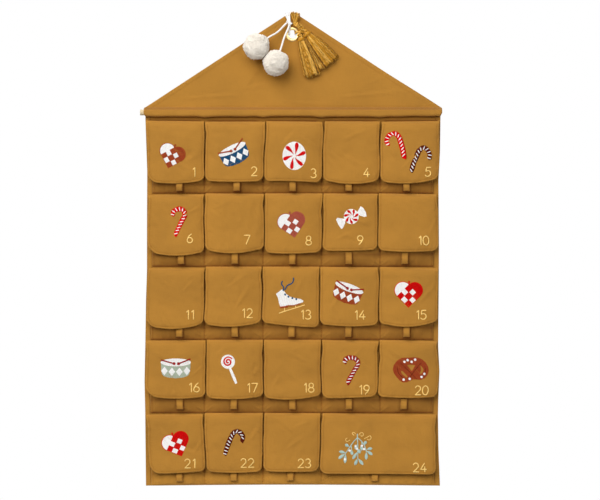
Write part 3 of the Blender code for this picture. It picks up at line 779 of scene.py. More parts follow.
SLEEVE_DIPS = np.array([-0.18, -0.06, 0.06, 0.18])
edge_lines = [d for d in HEM_LINES if d > 0] + [0.0085, 0.0095, 0.0102, 0.0112, 0.0125]
columns = np.unique(np.round(np.concatenate([
    np.linspace(-1, 1, 89), [side * (1 - d / HALF_WIDTH) for side in (-1, 1) for d in edge_lines],
]), 6))
lines = np.concatenate([
    np.linspace(APEX, APEX - 0.06, 26)[:-1], np.linspace(APEX - 0.06, STITCH_LINE, 30)[:-1],
    np.linspace(STITCH_LINE, FIRST_FLAP, 16)[:-1],
    np.linspace(FIRST_FLAP, BODY_FOOT + HEM_LINES[-1], 150),
    [BODY_FOOT + d for d in HEM_LINES[:-1]][::-1],
])
back, s, z = cut_cloth("back_cloth", columns, lines)
x = s * half_width(z)
slope_edge = (1 - np.abs(s)) * half_width(z) * SLOPE_SHARE
body_edge = np.minimum((1 - np.abs(s)) * HALF_WIDTH, z - BODY_FOOT)
edge = np.where(z > STITCH_LINE, slope_edge, body_edge)
hem = np.where(z < SLEEVE_FOOT, soft((HEM_WIDTH + 0.0012 - body_edge) / 0.0024), 0.0)
flat = np.clip(row_distance(z) / 0.006, 0.2, 1.0)
ridge = 0.0007 * bell(z - FIRST_FLAP - 0.0034, 0.0016) * (np.abs(x) < 0.292)
hang = np.clip(0.0004 * ripples(x, z, 11, 0.16), -0.0001, 0.0003) * (z < STITCH_LINE)
drape(back, x + sway(x, z), BACK_CLOTH / 2 + hem * flat * 0.0006 + hang + ridge, blunt(z) + foot_lift(x, z))
set_cut(back, x, z)
# painted light on the back cloth: a painted highlight along its edges, and painted shade in the hem groove, in a line
# above the first row of flaps and behind the gaps between flaps
groove = bell(body_edge - HEM_WIDTH - 0.0002, 0.0011) * (z < SLEEVE_FOOT)
seam_shadow = bell(z - FIRST_FLAP - 0.0002, 0.0018) * (np.abs(x) < 0.294) * (1 - 0.8 * sleeve_dips(x))
weigh_cloth(back, rounded(edge, 0.0007),
            0.25 * bell(edge, 0.0012) - 0.5 * groove - np.clip(1.3 * seam_shadow + 0.8 * under_gap(x, z), 0, 1))
cut_eyelet_hole(back)
thicken_cloth(back, BACK_CLOTH)
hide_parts("back_panel")
print("back cloth:", len(back.data.polygons), "faces")

# %% [markdown]
# ## The gable and its sleeve
# A second cloth covers the gable, turned in along the slopes. Its foot goes round the rod and is
# stitched down above and below it. So it lies flat, stands out over the rod as a round bulge, and
# tucks back under it, where the photograph shows the darkest shadow of all.

# %% Gable facing
FACING_CLOTH = 0.0012
FACING_DEPTH = 0.0024
ROD_DEPTH = 0.0078
ROD_HEIGHT = -0.1605
SLEEVE_ROUND = 0.0069
SLEEVE_POWER = 3.2
SLEEVE_HALF = (0.3033, 0.3028)
GABLE_HEM = 0.0085


def sleeve_path():
    """Depth and height of the facing below its stitch line: a straight drop, then the rod."""
    back_by, rise = ROD_DEPTH - FACING_DEPTH, STITCH_LINE - ROD_HEIGHT
    reach = math.hypot(back_by, rise)
    first = math.degrees(math.atan2(rise, -back_by) - math.acos(SLEEVE_ROUND / reach))
    last = -90 - math.degrees(math.asin(back_by / SLEEVE_ROUND))
    path = []
    for i in range(33):
        angle = math.radians(first + (last - first) * i / 32)
        c, s = math.cos(angle), math.sin(angle)
        power = SLEEVE_POWER if s < 0.3 else SLEEVE_POWER + (2.0 - SLEEVE_POWER) * min((s - 0.3) / 0.5, 1.0)
        reach = SLEEVE_ROUND / (abs(c) ** power + abs(s) ** power) ** (1 / power)
        path.append((ROD_DEPTH + reach * c, ROD_HEIGHT + reach * s * (1.16 if s < 0 else 1.0)))
    start = Vector((FACING_DEPTH, STITCH_LINE))
    drop = [tuple(start.lerp(Vector(path[0]), t)) for t in (0.0, 0.08, 0.2, 0.4, 0.6, 0.8)]
    return np.array(drop + path)


GABLE_CREASES = (
    ((-0.22, -0.131), 4, 0.12, 0.0030, 0.0008), ((-0.03, -0.138), -3, 0.10, 0.0028, 0.0006),
    ((0.10, -0.128), 5, 0.13, 0.0034, 0.0009), ((-0.10, -0.112), 12, 0.07, 0.0040, 0.0006),
    ((0.02, -0.030), -52, 0.10, 0.0050, 0.0006), ((-0.06, -0.06), -128, 0.08, 0.0045, 0.0005),
    ((0.16, -0.10), 28, 0.08, 0.0045, 0.0006),
)


def gable_relief(x, z):
    """How far the gable's cloth stands off its plane, above the stitch line."""
    edge = (half_width(z) - np.abs(x)) * SLOPE_SHARE
    away = soft((np.hypot(x, z) - 0.026) / 0.03) * soft((0.030 - z) / 0.03)
    swell = 0.0005 + 0.0005 * ripples(x, z, 5, 0.10, stretch=1.6)
    for fold in GABLE_CREASES:
        swell = swell + crease(x, z, *fold)
    swell = np.clip(swell, 0.0, 0.0022) * away * (1 - bell(z - STITCH_LINE, 0.0022))
    return swell + 0.00025 * soft((GABLE_HEM - edge) / 0.0030)


sleeve = sleeve_path()
reach_down = np.concatenate([[0], np.cumsum(np.linalg.norm(np.diff(sleeve, axis=0), axis=1))])
slope_lines = [0.0012, 0.0026, 0.0045, 0.0065, 0.0078, 0.0085, 0.0092, 0.0104, 0.012]
columns = np.unique(np.round(np.concatenate([
    np.linspace(-1, 1, 141),
    [side * (1 - d / (HALF_WIDTH * SLOPE_SHARE)) for side in (-1, 1) for d in slope_lines],
]), 6))
lines = np.concatenate([
    np.linspace(APEX, APEX - 0.06, 30)[:-1], np.linspace(APEX - 0.06, STITCH_LINE + 0.006, 42)[:-1],
    np.linspace(STITCH_LINE + 0.006, STITCH_LINE, 7)[:-1], STITCH_LINE - reach_down,
])
facing, s, v = cut_cloth("gable_facing", columns, lines)
below = np.maximum(STITCH_LINE - v, 0.0)
in_sleeve = v < STITCH_LINE
z = np.where(in_sleeve, np.interp(below, reach_down, sleeve[:, 1]), v)
depth = np.where(in_sleeve, np.interp(below, reach_down, sleeve[:, 0]), FACING_DEPTH)
half = half_width(z) + (np.where(s < 0, *SLEEVE_HALF) - HALF_WIDTH) * soft(below / 0.004)
half = half - 0.0028 * soft((ROD_HEIGHT + 0.001 - z) / 0.009) ** 2 * in_sleeve
x = s * half
side_edge = (1 - np.abs(s)) * half
edge = np.where(in_sleeve, side_edge, side_edge * SLOPE_SHARE)
relief = np.where(in_sleeve, 0.0, gable_relief(x, v))
round_part = soft((below - 0.004) / 0.004) * in_sleeve
puckers = 0.00030 * ripples(x, z * 0, 21, 0.011) + 0.00045 * ripples(x, z, 22, 0.045)
relief = relief + puckers * round_part
foot_part = soft((ROD_HEIGHT + 0.001 - z) / 0.005) * in_sleeve
z = z - foot_part * (0.0020 * sleeve_dips(x) + 0.0006 * ripples(x, z * 0, 23, 0.05)
                     + 0.0007 * ripples(x, z * 0, 24, 0.16))
drape(facing, x + sway(x, z) * (z < STITCH_LINE), depth + relief, blunt(z))
set_cut(facing, x, v)
# painted light on the facing: the gable is lightened a little and its edges get a painted highlight; the hem grooves,
# the stitch line and the sleeve, most of all the upper face of its bulge, get painted shade
groove = bell(edge - GABLE_HEM, 0.0009) * ~in_sleeve + bell(v - STITCH_LINE, 0.0011)
weigh_cloth(facing, rounded(np.minimum(edge, below.max() + 0.0005 - below), 0.0007),
            0.25 - 0.17 * in_sleeve + 0.3 * bell(edge, 0.0014) - 0.30 * np.clip(groove, 0, 1)
            - 0.55 * bell(below - 0.0075, 0.0070) * in_sleeve)
cut_eyelet_hole(facing)
thicken_cloth(facing, FACING_CLOTH)
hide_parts("roof_facing")
print("gable facing:", len(facing.data.polygons), "faces, sleeve", round(1000 * float(reach_down[-1])), "mm of cloth")

# %% [markdown]
# ## Rows of pockets
# One strip of cloth makes each row. It is longer than the back cloth is wide, and the spare cloth
# stands forwards between the seams, so each pocket bellies out and has room for a gift. It is sewn
# flat at its foot and along the columns. The pull of those seams draws small puckers into the cloth,
# which show as bright and dark flecks at every crossing.

# %% Pocket strips
POCKET_CLOTH = 0.0012
POCKET_MOUTH = 0.024
POCKET_FOOT = 0.1494
POCKET_LEVELS = ((0.024, 0.62), (0.050, 0.86), (0.085, 0.93), (0.110, 0.94), (0.119, 0.89), (0.127, 0.77),
                 (0.134, 0.61), (0.140, 0.41), (0.145, 0.18), (0.1482, 0.02), (0.1494, 0.0))
LAST_LEVELS = ((0.024, 0.62), (0.050, 0.84), (0.085, 0.84), (0.105, 0.76), (0.118, 0.68), (0.132, 0.70),
               (0.141, 0.74), (0.1468, 0.70), (0.1487, 0.40), (0.1494, 0.0))


def smoothed(table, reach):
    """A curve through a table's values, with its corners rounded off."""
    places, values = np.array(table).T
    fine = np.linspace(places[0], places[-1], 241)
    padded = np.interp(np.linspace(places[0] - reach, places[-1] + reach, 321), places, values)
    width = max(int(round(321 * reach / (places[-1] - places[0] + 2 * reach))), 1)
    kernel = np.hanning(2 * width + 3)
    smooth = np.convolve(padded, kernel / kernel.sum(), "same")
    smooth = np.interp(fine, np.linspace(places[0] - reach, places[-1] + reach, 321), smooth)
    blend = np.clip(np.minimum(fine - places[0], places[-1] - fine) / (1.5 * reach), 0, 1)
    return fine, np.interp(fine, places, values) * (1 - blend) + smooth * blend


# how far below its row's top the flaps end, on average
FOOT_DROPS = (0.127, 0.120, 0.120, 0.118, 0.1235)
LOOP_TAPE = 0.0009
LOOP_WIDTH = 0.0135
LOOP_SEWN = 0.1195
LOOP_STAND = 0.0029
LOOP_SHIFTS = (
    (2.7, 6.4, 0.4, -5.3, -1.7), (5.8, 2.3, 0.6, -4.9, -4.4), (3.7, 1.9, -1.6, -4.9, -0.7),
    (4.8, 0.6, -0.6, -4.3, -5.9), (3.3, -0.2, -3.7, -5.9),
)
LOOP_TIPS = (0.1445, 0.1440, 0.1428, 0.1410, 0.1405)
POCKET_CURVES = [smoothed(POCKET_LEVELS, 0.004)] * 4 + [smoothed(LAST_LEVELS, 0.004)]


def pocket_edges(row):
    """The seams of a row's pockets, the outer two drawn in from the calendar's sides."""
    edges = [-HALF_WIDTH]
    for count in ROW_CELLS[row]:
        edges.append(edges[-1] + count * COLUMN_PITCH)
    edges[0] += POCKET_MARGIN
    edges[-1] -= POCKET_MARGIN
    return np.array(edges)


def pocket_crown(row, x):
    """How full a row's pockets are across it: nothing at a seam, all in a pocket's middle."""
    edges = pocket_edges(row)
    cell = np.clip(np.searchsorted(edges, x) - 1, 0, len(edges) - 2)
    left, right = edges[cell], edges[cell + 1]
    middle = 0.06 * np.sin(2.3 * cell + 1.7 * row)
    across = np.clip(2 * (x - left) / (right - left) - 1, -1, 1)
    across = across - middle * (1 - across ** 2)
    return np.clip(1 - np.abs(across) ** 3, 0, 1)


def seam_folds(row, x, drop):
    """The small folds that the column seams and the foot seam pull into a row."""
    total = 0.0010 * ripples(x, 0.25 * drop, 60 + row, 0.016) * bell(drop - 0.143, 0.0075)
    total = total + 0.0011 * ripples(x, 0.5 * drop, 70 + row, 0.030) * soft((drop - 0.105) / 0.02)
    for number, seam in enumerate(pocket_edges(row)):
        if 0 < number < len(pocket_edges(row)) - 1:
            for heading, length, height in ((38, 0.022, 0.0018), (142, 0.023, 0.0019),
                                            (66, 0.018, 0.0012), (110, 0.019, 0.0013)):
                total = total + crease(x, -drop, (seam, -0.1475), heading, length, 0.0017, height)
            total = total + 0.0020 * bell(x - seam, 0.0055) * bell(drop - 0.1385, 0.0042)
    return total * soft((POCKET_FOOT - drop) / 0.004)


def strip_depth(row, x, drop):
    """Depth of the middle of a row's cloth at a place."""
    level = np.interp(drop, *POCKET_CURVES[row])
    crown = pocket_crown(row, x)
    full = POCKET_FULLNESS * level * crown
    uneven = 0.0007 * ripples(x, drop, 40 + row, 0.07) * np.sqrt(crown) * level
    sides = pocket_edges(row)
    inside = soft(np.minimum(x - sides[0], sides[-1] - x) / 0.006)
    folds = np.clip(seam_folds(row, x, drop), -0.0010 * np.clip(3 * full / POCKET_FULLNESS, 0, 1), 0.002)
    return PANEL_FRONT + POCKET_CLOTH / 2 + np.maximum(full + uneven + folds * inside, 0.0)


def loop_middle(row, cell):
    edges = pocket_edges(row)
    return (edges[cell] + edges[cell + 1]) / 2 + LOOP_SHIFTS[row][cell] / 1000


def loop_shade(row, x, drop):
    """The shade that a tape loop throws on the cloth behind and below it."""
    total = np.zeros_like(x)
    for cell in range(len(ROW_CELLS[row])):
        beside = 0.0098 - np.abs(x - loop_middle(row, cell) - 0.0012)
        total += soft(beside / 0.0032) * soft((LOOP_TIPS[row] + 0.0042 - drop) / 0.0032)
    return total * soft((drop - FOOT_DROPS[row] + 0.002) / 0.004)


def pocket_strip(row):
    sides = pocket_edges(row)
    seams = [e + d for e in sides[1:-1] for d in (-0.0035, -0.0022, -0.0011, 0, 0.0011, 0.0022, 0.0035)]
    across = np.unique(np.round(np.concatenate([grid_lines(sides[0], sides[-1], 0.0026), seams]), 5))
    across = across[np.concatenate([[True], np.diff(across) > 0.0004])]
    down = np.concatenate([
        POCKET_MOUTH + np.array(HEM_LINES[:-1]), np.linspace(POCKET_MOUTH + HEM_LINES[-1], 0.106, 20)[:-1],
        np.linspace(0.106, POCKET_FOOT - 0.0025, 24), POCKET_FOOT - np.array([0.0016, 0.0009, 0.0004, 0]),
    ])
    strip, x, drop = cut_cloth(f"pocket_row_{row + 1}", across, down)
    z = row_top(row) - drop
    mouth = 0.0005 * soft((0.0125 - (drop - POCKET_MOUTH)) / 0.0016)
    depth = strip_depth(row, x, drop) + mouth
    side = np.minimum(x - sides[0], sides[-1] - x)
    drape(strip, x + sway(x, z), depth, z + foot_lift(x, z))
    set_cut(strip, x, z)
    seam = np.abs(x[:, None] - sides[1:-1]).min(axis=1)
    below = drop - FOOT_DROPS[row]
    # painted light on the pocket rows: painted shade below each flap's foot and along the foot seam, or on the last
    # row a painted highlight towards its foot; then painted shade round the loops, at the seams, near the sides and
    # between the flaps
    if row < 4:
        shade = 0.30 * soft(below / 0.004) + 0.42 * bell(below - 0.003, 0.0055)
        painted_shading = -shade - 0.80 * bell(POCKET_FOOT - drop, 0.0030)
    else:
        painted_shading = -0.25 * bell(below - 0.002, 0.004) + 0.55 * soft((drop - 0.130) / 0.010)
    painted_shading = painted_shading - 0.7 * loop_shade(row, x, drop)
    painted_shading = painted_shading - 0.55 * bell(seam, 0.0012) - 0.5 * bell(side - 0.004, 0.0009)
    painted_shading = painted_shading - 0.75 * bell(seam, 0.0030) * soft((0.002 - below) / 0.004)
    weigh_cloth(strip, rounded(np.minimum(side, np.minimum(drop - POCKET_MOUTH, 0.0006 + POCKET_FOOT - drop)),
                               0.0006), painted_shading)
    thicken_cloth(strip, POCKET_CLOTH)
    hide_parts(f"pocket_strip_row_{row + 1}")
    return strip


STRIPS = [pocket_strip(row) for row in range(len(ROW_CELLS))]
print("pocket rows:", [len(strip.data.polygons) for strip in STRIPS], "faces")

# %% [markdown]
# ## Tape loops
# Below each flap a short loop of folded tape shows. Its two ends are sewn to the pocket under the
# flap's edge, and it hangs a little off the cloth, so it catches the light and throws a small dark
# shadow. That shadow is also painted onto the pocket below it, the tip gets a painted highlight, and
# the tape's sides get painted shade. Each one is turned and shifted a little, as hand-placed tapes are.

# %% Tape loops

def tape_loop(row, cell, name):
    middle = loop_middle(row, cell)
    rng = np.random.default_rng(500 + 10 * row + cell)
    tip = LOOP_TIPS[row] - rng.uniform(0, 0.0008)
    tilt, twist = rng.uniform(-0.05, 0.05), rng.uniform(-0.0006, 0.0006)
    base = float(strip_depth(row, np.array([middle]), np.array([LOOP_SEWN]))[0]) + POCKET_CLOTH / 2
    length = tip - LOOP_SEWN
    bend = 0.0021
    path = []
    for i in range(15):
        t = i / 14
        path.append((0.0006 + LOOP_STAND * soft(t * 1.6), LOOP_SEWN + (length - bend) * t))
    for i in range(1, 8):
        turn = math.pi * i / 8
        path.append((0.0006 + LOOP_STAND + bend * (1 - math.cos(turn)), LOOP_SEWN + length - bend + bend * math.sin(turn)))
    for i in range(15):
        t = i / 14
        path.append((0.0006 + LOOP_STAND + 2 * bend - (LOOP_STAND + 0.0026) * soft(1.6 * t - 0.3), LOOP_SEWN + (length - bend) * (1 - t)))
    path = np.array(path)
    side = np.array([-1, -0.93, -0.6, 0, 0.6, 0.93, 1]) * LOOP_WIDTH / 2
    tape, x, number = cut_cloth(name, side, np.arange(len(path), dtype=float))
    step = np.rint(number).astype(int)
    off, drop = path[step, 0], path[step, 1]
    wall = strip_depth(row, middle + x, drop) + POCKET_CLOTH / 2
    leave = soft((drop - LOOP_SEWN) / 0.02)
    depth = np.maximum(wall, wall + (base - wall) * 0.35 * leave) + off + twist * x / LOOP_WIDTH * leave
    z = row_top(row) - drop + tilt * x
    place = middle + x - tilt * (drop - LOOP_SEWN)
    drape(tape, place + sway(place, z), depth, z + foot_lift(place, z))
    run = np.concatenate([[0], np.cumsum(np.linalg.norm(np.diff(path, axis=0), axis=1))])
    set_cut(tape, x, run[step])
    margin = np.minimum(LOOP_WIDTH / 2 - np.abs(x), 0.0006)
    # a painted highlight along the fold at the tip, and painted shade along the tape's side edges
    painted_shading = 0.75 * bell(run[step] - run[19], 0.0026) - 0.55 * bell(LOOP_WIDTH / 2 - np.abs(x), 0.0016)
    weigh_cloth(tape, rounded(margin + 0.0001, 0.0005), painted_shading)
    thicken_cloth(tape, LOOP_TAPE)
    return tape, float(run[-1])


loop_count = 0
for row, strip in enumerate(STRIPS):
    for cell in range(len(ROW_CELLS[row])):
        tape, tape_length = tape_loop(row, cell, f"tape_loop_{row + 1}_{cell + 1}")
        below = [n for n in CELLS if CELLS[n][0] == row + 1 and CELLS[n][1] < loop_middle(row, cell) < CELLS[n][2]]
        if below:
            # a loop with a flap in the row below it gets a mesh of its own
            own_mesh(tape)
        loop_count += 1
print(loop_count, "tape loops of", round(1000 * tape_length), "mm of tape")

# %% [markdown]
# ## Flaps
# Each pocket is shut by a flap of doubled canvas. It is sewn to the back cloth along its top, folded
# over that seam, and lies on the full pocket like a blanket. Its fold is crisp, its sides roll off
# towards the gaps, and its foot stands a few millimetres free. Sewn cloth is never exact, so each
# flap gets the edges it has in the photograph, and a few soft creases of its own.

# %% Flap shapes
FLAP_CLOTH = 0.0016
HINGE_DEPTH = 0.0038
HINGE_DROP = 0.0020
FOLD_ROUND = 0.0012
FLAP_GAP = 0.0023
FLAP_SEAM = 0.0042
FLAP_LEVELS = ((0.0, 0.0), (0.0015, 0.26), (0.003, 0.46), (0.005, 0.62), (0.008, 0.74), (0.014, 0.84),
               (0.030, 0.91), (0.055, 0.97), (0.090, 1.0), (0.130, 1.0))
# how far the gaps between flaps lie from their places, in millimetres, at their top and foot
GAP_SHIFTS = (
    ((1, 1), (1, 1), (6, 1), (5, 1), (0, -1), (-1, 0)),
    ((1, 1), (0, 0), (3, 3), (3, 1), (-4, -5), (-1, 0)),
    ((1, 1), (2, -1), (-1, -2), (-3, -5), (-1, -4), (-1, -1)),
    ((1, 3), (4, 3), (1, 1), (-1, -1), (-2, -6), (-1, -1)),
    ((1, 9), (-2, 4), (1, -1), (-1, -4), (-3, -7)),
)
# where each flap's foot lies, in millimetres below a drop of 128: left, middle and right
FOOT_SHIFTS = (
    (0.1, 1.4, -2), (-2.7, -1.9, -2.8), (-3.7, -3.3, -1.4), (-1.2, 2.4, -1.2),
    (0.5, 1.2, -4.2), (-4.3, -1, -5), (-8.5, -6, -11.5), (-5.9, -5.2, -7.1),
    (-10.9, -11, -12.8), (-9.9, -8.7, -10.5), (-3.8, -1.4, -7.5), (-7.3, -6.1, -11.5),
    (-11, -7.3, -4.9), (-8.3, -6.5, -8.5), (-8.1, -5.9, -12.6), (-11.5, -8.8, -10.7),
    (-8.9, -8, -10.9), (-8.2, -7.3, -12.3), (-9.9, -10.8, -12.6), (-11.3, -10.4, -11.8),
    (-4.3, -4.6, -7), (-5.8, -4.4, -5.8), (-6.5, -6, -6.5), (-2.4, -2.6, -2.5),
)
# how far its fold lies above its place, in millimetres, at its left and right end
TOP_SHIFTS = (
    (0.3, -1.3), (-2, -2), (-0.6, -2.4), (-1, -1.5), (-2, -0.6), (-2.4, -0.6), (1, 0.3), (1, 1),
    (1, 0.4), (1, -0.8), (-2, -1.6), (1, 1), (1, 0.8), (0.6, -0.8), (0.4, -2.6), (-0.6, 0.2),
    (1, 1), (1, 1), (0.8, -2), (0.8, -2), (-2.2, -0.8), (1, 1), (1, 0.5), (0.6, -2),
)
FLAP_CURVE = smoothed(FLAP_LEVELS, 0.002)


def falls_flat(piece):
    """Give the piece a mesh of its own."""
    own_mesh(piece)



class Flap:
    """The cut and the lie of one flap, at rest."""

    def __init__(self, number):
        self.number = number
        self.row, self.left, self.right = CELLS[number]
        cell = [n for n in CELLS if CELLS[n][0] == self.row].index(number)
        self.shifts = GAP_SHIFTS[self.row][cell], GAP_SHIFTS[self.row][cell + 1]
        self.middle = (self.left + self.right) / 2
        self.half = (self.right - self.left - FLAP_GAP) / 2
        self.top = row_top(self.row)
        rng = np.random.default_rng(900 + number)
        self.corners = rng.uniform(0.0115, 0.0150, 2)
        if cell == 0:
            self.corners[0] = rng.uniform(0.019, 0.023)
        self.lean = rng.uniform(-0.0006, 0.0006)
        self.wave = rng.uniform(0, 6.3, 2)
        # where each side stands back from its neighbour, and how far
        self.openings = rng.uniform(0.04, 0.34, 2), rng.choice([0.0002, 0.0006, 0.0014, 0.0020], 2)
        self.fullness = POCKET_FULLNESS * rng.uniform(0.90, 1.0)
        self.creases = [
            ((self.middle + rng.uniform(-0.8, 0.8) * self.half, self.top - rng.uniform(0.02, 0.10)),
             rng.choice([-55, -35, 35, 55, 125, 145]) + rng.uniform(-12, 12),
             rng.uniform(0.03, 0.06), rng.uniform(0.0028, 0.0050), rng.uniform(0.0006, 0.0013))
            for _ in range(4)
        ]
        # the seams pinch the sides below the fold, and the corners of the foot
        self.pinches = [
            ((self.middle + side * self.half, self.top - drop), 90 - side * (90 + rng.uniform(lean, lean + 30)),
             rng.uniform(0.016, 0.034), rng.uniform(0.0018, 0.0028), rng.uniform(0.0007, 0.0016))
            for side in (-1, 1) for drop, lean in (
                (rng.uniform(0.008, 0.022), 15), (rng.uniform(0.02, 0.05), 0),
                (rng.uniform(0.085, 0.100), -15), (rng.uniform(0.098, 0.110), -40))
        ]
        self.puckers = [
            ((self.middle + rng.uniform(-0.85, 0.85) * self.half, self.top - rng.uniform(0.112, 0.120)),
             90 + rng.uniform(-25, 25), rng.uniform(0.008, 0.016), rng.uniform(0.0014, 0.0024),
             rng.uniform(0.0005, 0.0011))
            for _ in range(6)
        ]

    def share(self, z):
        """0 at the flap's top and 1 at its foot."""
        return np.clip((self.top - z) / FLAP_DROP, 0, 1)

    def sides(self, z):
        """The left and right edge at a height, before the corners are rounded."""
        t = self.share(z)
        (left_top, left_foot), (right_top, right_foot) = self.shifts
        ripple, ripple_right = (
            0.0005 * np.sin(9 * t + self.row * 2.1 + 8 * np.array(place)) + 0.0004 * np.sin(7 * t + self.wave[k])
            + (1, -1)[k] * self.openings[1][k] * bell(t - self.openings[0][k], 0.10)
            for k, place in enumerate((self.left, self.right)))
        left = self.left + FLAP_GAP / 2 + (left_top + (left_foot - left_top) * t) / 1000 + ripple
        right = self.right - FLAP_GAP / 2 + (right_top + (right_foot - right_top) * t) / 1000 + ripple_right
        return left, right

    def drop(self, x):
        """How far down the foot reaches at a place across the flap."""
        u = np.clip((x - self.middle) / self.half, -0.82, 0.82)
        first, middle, last = FOOT_SHIFTS[self.number - 1]
        # the curve through the three measured places, at -0.6, 0 and 0.7 of the half width
        bend = ((first - middle) * 0.7 + (last - middle) * 0.6) / (0.36 * 0.7 + 0.49 * 0.6)
        tilt = (last - middle - 0.49 * bend) / 0.7
        return 0.128 + (middle + tilt * u + bend * u * u) / 1000

    def crest(self, x):
        """How far the fold lies above its place."""
        u = (x - self.middle) / self.half
        left, right = TOP_SHIFTS[self.number - 1]
        return (left + right + (right - left) * u) / 2000

    def edge(self, x, z):
        """Distance inwards from the flap's edge, round its corners too."""
        left, right = self.sides(z)
        above = self.drop(x) - (self.top - z)
        distance = np.minimum(np.minimum(x - left, right - x), above)
        for side, radius in ((x - left, self.corners[0]), (right - x, self.corners[1])):
            round_off = radius - np.hypot(np.maximum(radius - side, 0), np.maximum(radius - above, 0))
            distance = np.where((side < radius) & (above < radius), round_off, distance)
        return distance

    def depth(self, x, z):
        """Depth of the cloth's middle, on the front of the flap."""
        fall = np.maximum(self.top - HINGE_DROP + self.crest(x) - z, 0.0)
        edge = self.edge(x, z)
        sides = pocket_edges(self.row)
        cell = int(np.argmin(np.abs((sides[:-1] + sides[1:]) / 2 - self.middle)))
        left, right = self.left, self.right
        across = np.clip((x - (left + right) / 2) / ((right - left) / 2), -1, 1)
        across = across - 0.06 * math.sin(2.3 * cell + 1.7 * self.row) * (1 - across ** 2)
        power = 3 if right - left < 0.15 else 6
        rise = 0.52 + 0.48 * (1 - np.abs(across) ** power)
        level = np.interp(fall, *FLAP_CURVE)
        base = HINGE_DEPTH + FOLD_ROUND - 0.0006 * soft(fall / 0.01)
        window = soft((fall - 0.004) / 0.02) * soft(edge / 0.012)
        uneven = 0.0010 * ripples(x, z, 300 + self.number, 0.060) * window
        uneven = uneven + 0.0004 * ripples(x, z, 340 + self.number, 0.026) * window
        for fold in self.creases:
            uneven = uneven + crease(x, z, *fold) * window
        for fold in self.pinches:
            uneven = uneven + crease(x, z, *fold) * soft(fall / 0.008)
        near_foot = soft((0.030 - edge) / 0.02) * soft(fall / 0.03)
        for fold in self.puckers:
            uneven = uneven + crease(x, z, *fold) * near_foot
        edge_wave = 0.0008 * ripples(x, z, 380 + self.number, 0.020) * bell(edge, 0.007) * soft(fall / 0.02)
        groove = -0.00028 * bell(edge - FLAP_SEAM, 0.0008) + 0.00012 * bell(edge - 0.0022, 0.0012)
        roll = -0.0009 * (1 - rounded(edge, 0.0045)) * soft(fall / 0.008)
        lift = self.lean * across * level + 0.0042 * soft((fall - 0.065) / 0.050)
        return (base + self.fullness * level * rise + uneven + edge_wave
                + (groove + roll) * soft(fall / 0.006) + lift)


FLAPS = {number: Flap(number) for number in CELLS}
print("mean drop of a flap", round(1000 * float(np.mean([f.drop(f.middle) for f in FLAPS.values()])), 1), "mm")

# %% Flaps
def flap_piece(number):
    flap = FLAPS[number]
    wide = flap.right - flap.left > 0.15
    across = grid_lines(-flap.half, flap.half, 0.0026) / flap.half
    fold = np.linspace(-math.pi * FOLD_ROUND, 0, 8)[:-1]
    length = FLAP_DROP - HINGE_DROP
    down = np.concatenate([fold, [0.0, 0.0006, 0.0014, 0.0026, 0.004],
                           grid_lines(0.0058, length, 0.0025, hem_low=False)])
    cloth, u, run = cut_cloth(f"flap_{number:02d}_cloth", across, down)
    t = np.clip(run / length, 0, 1)
    hinge = flap.top - HINGE_DROP
    rough = hinge - t * (FLAP_DROP - HINGE_DROP)
    left, right = flap.sides(rough)
    above = (1 - t) * length
    insets = [radius - np.sqrt(np.maximum(radius ** 2 - np.maximum(radius - above, 0) ** 2, 0))
              for radius in flap.corners]
    left, right = left + insets[0], right - insets[1]
    x = left + (right - left) * (u + 1) / 2
    crest = hinge + flap.crest(x)
    z = crest - t * (crest - (flap.top - flap.drop(x)))
    turn = np.clip(-run / FOLD_ROUND, 0, math.pi)
    folded = run < 0
    depth = flap.depth(x, z)
    front = HINGE_DEPTH + FOLD_ROUND
    depth = np.where(folded, HINGE_DEPTH + FOLD_ROUND * np.cos(turn), depth)
    z = np.where(folded, crest + FOLD_ROUND * np.sin(turn), z)
    edge = np.where(folded, np.minimum(x - left, right - x), flap.edge(x, z))
    shape_x, shape_z = x + sway(x, z), z + foot_lift(x, z)
    drape(cloth, shape_x, depth, shape_z)
    set_cut(cloth, x, flap.top - run)
    # a painted highlight along the fold's crest and the edges, and painted shade in the seam groove
    painted_shading = (0.9 * bell(run - 0.0004, 0.0022) + 0.6 * bell(edge, 0.0018)
               - 0.42 * bell(edge - FLAP_SEAM, 0.0008) * ~folded)
    weigh_cloth(cloth, rounded(np.clip(edge, 0, 1) + 0.00002, 0.0013), painted_shading)
    body = f"flap_{number:02d}"
    thicken_cloth(cloth, FLAP_CLOTH, body=body)
    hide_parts(body)
    falls_flat(cloth)
    return cloth


FLAP_PIECES = {number: flap_piece(number) for number in CELLS}
print("flaps:", sum(len(piece.data.polygons) for piece in FLAP_PIECES.values()), "faces")

# %% [markdown]
# ## One stitch, copied
# Every seam line, number and figure is sewn. One stitch is modelled by hand: a short four-sided rod
# whose ends are extruded and drawn in, so that it dives into the cloth. Thousands of copies are then
# laid along the seams, each one turned to its own thread path and set on the cloth's own surface.

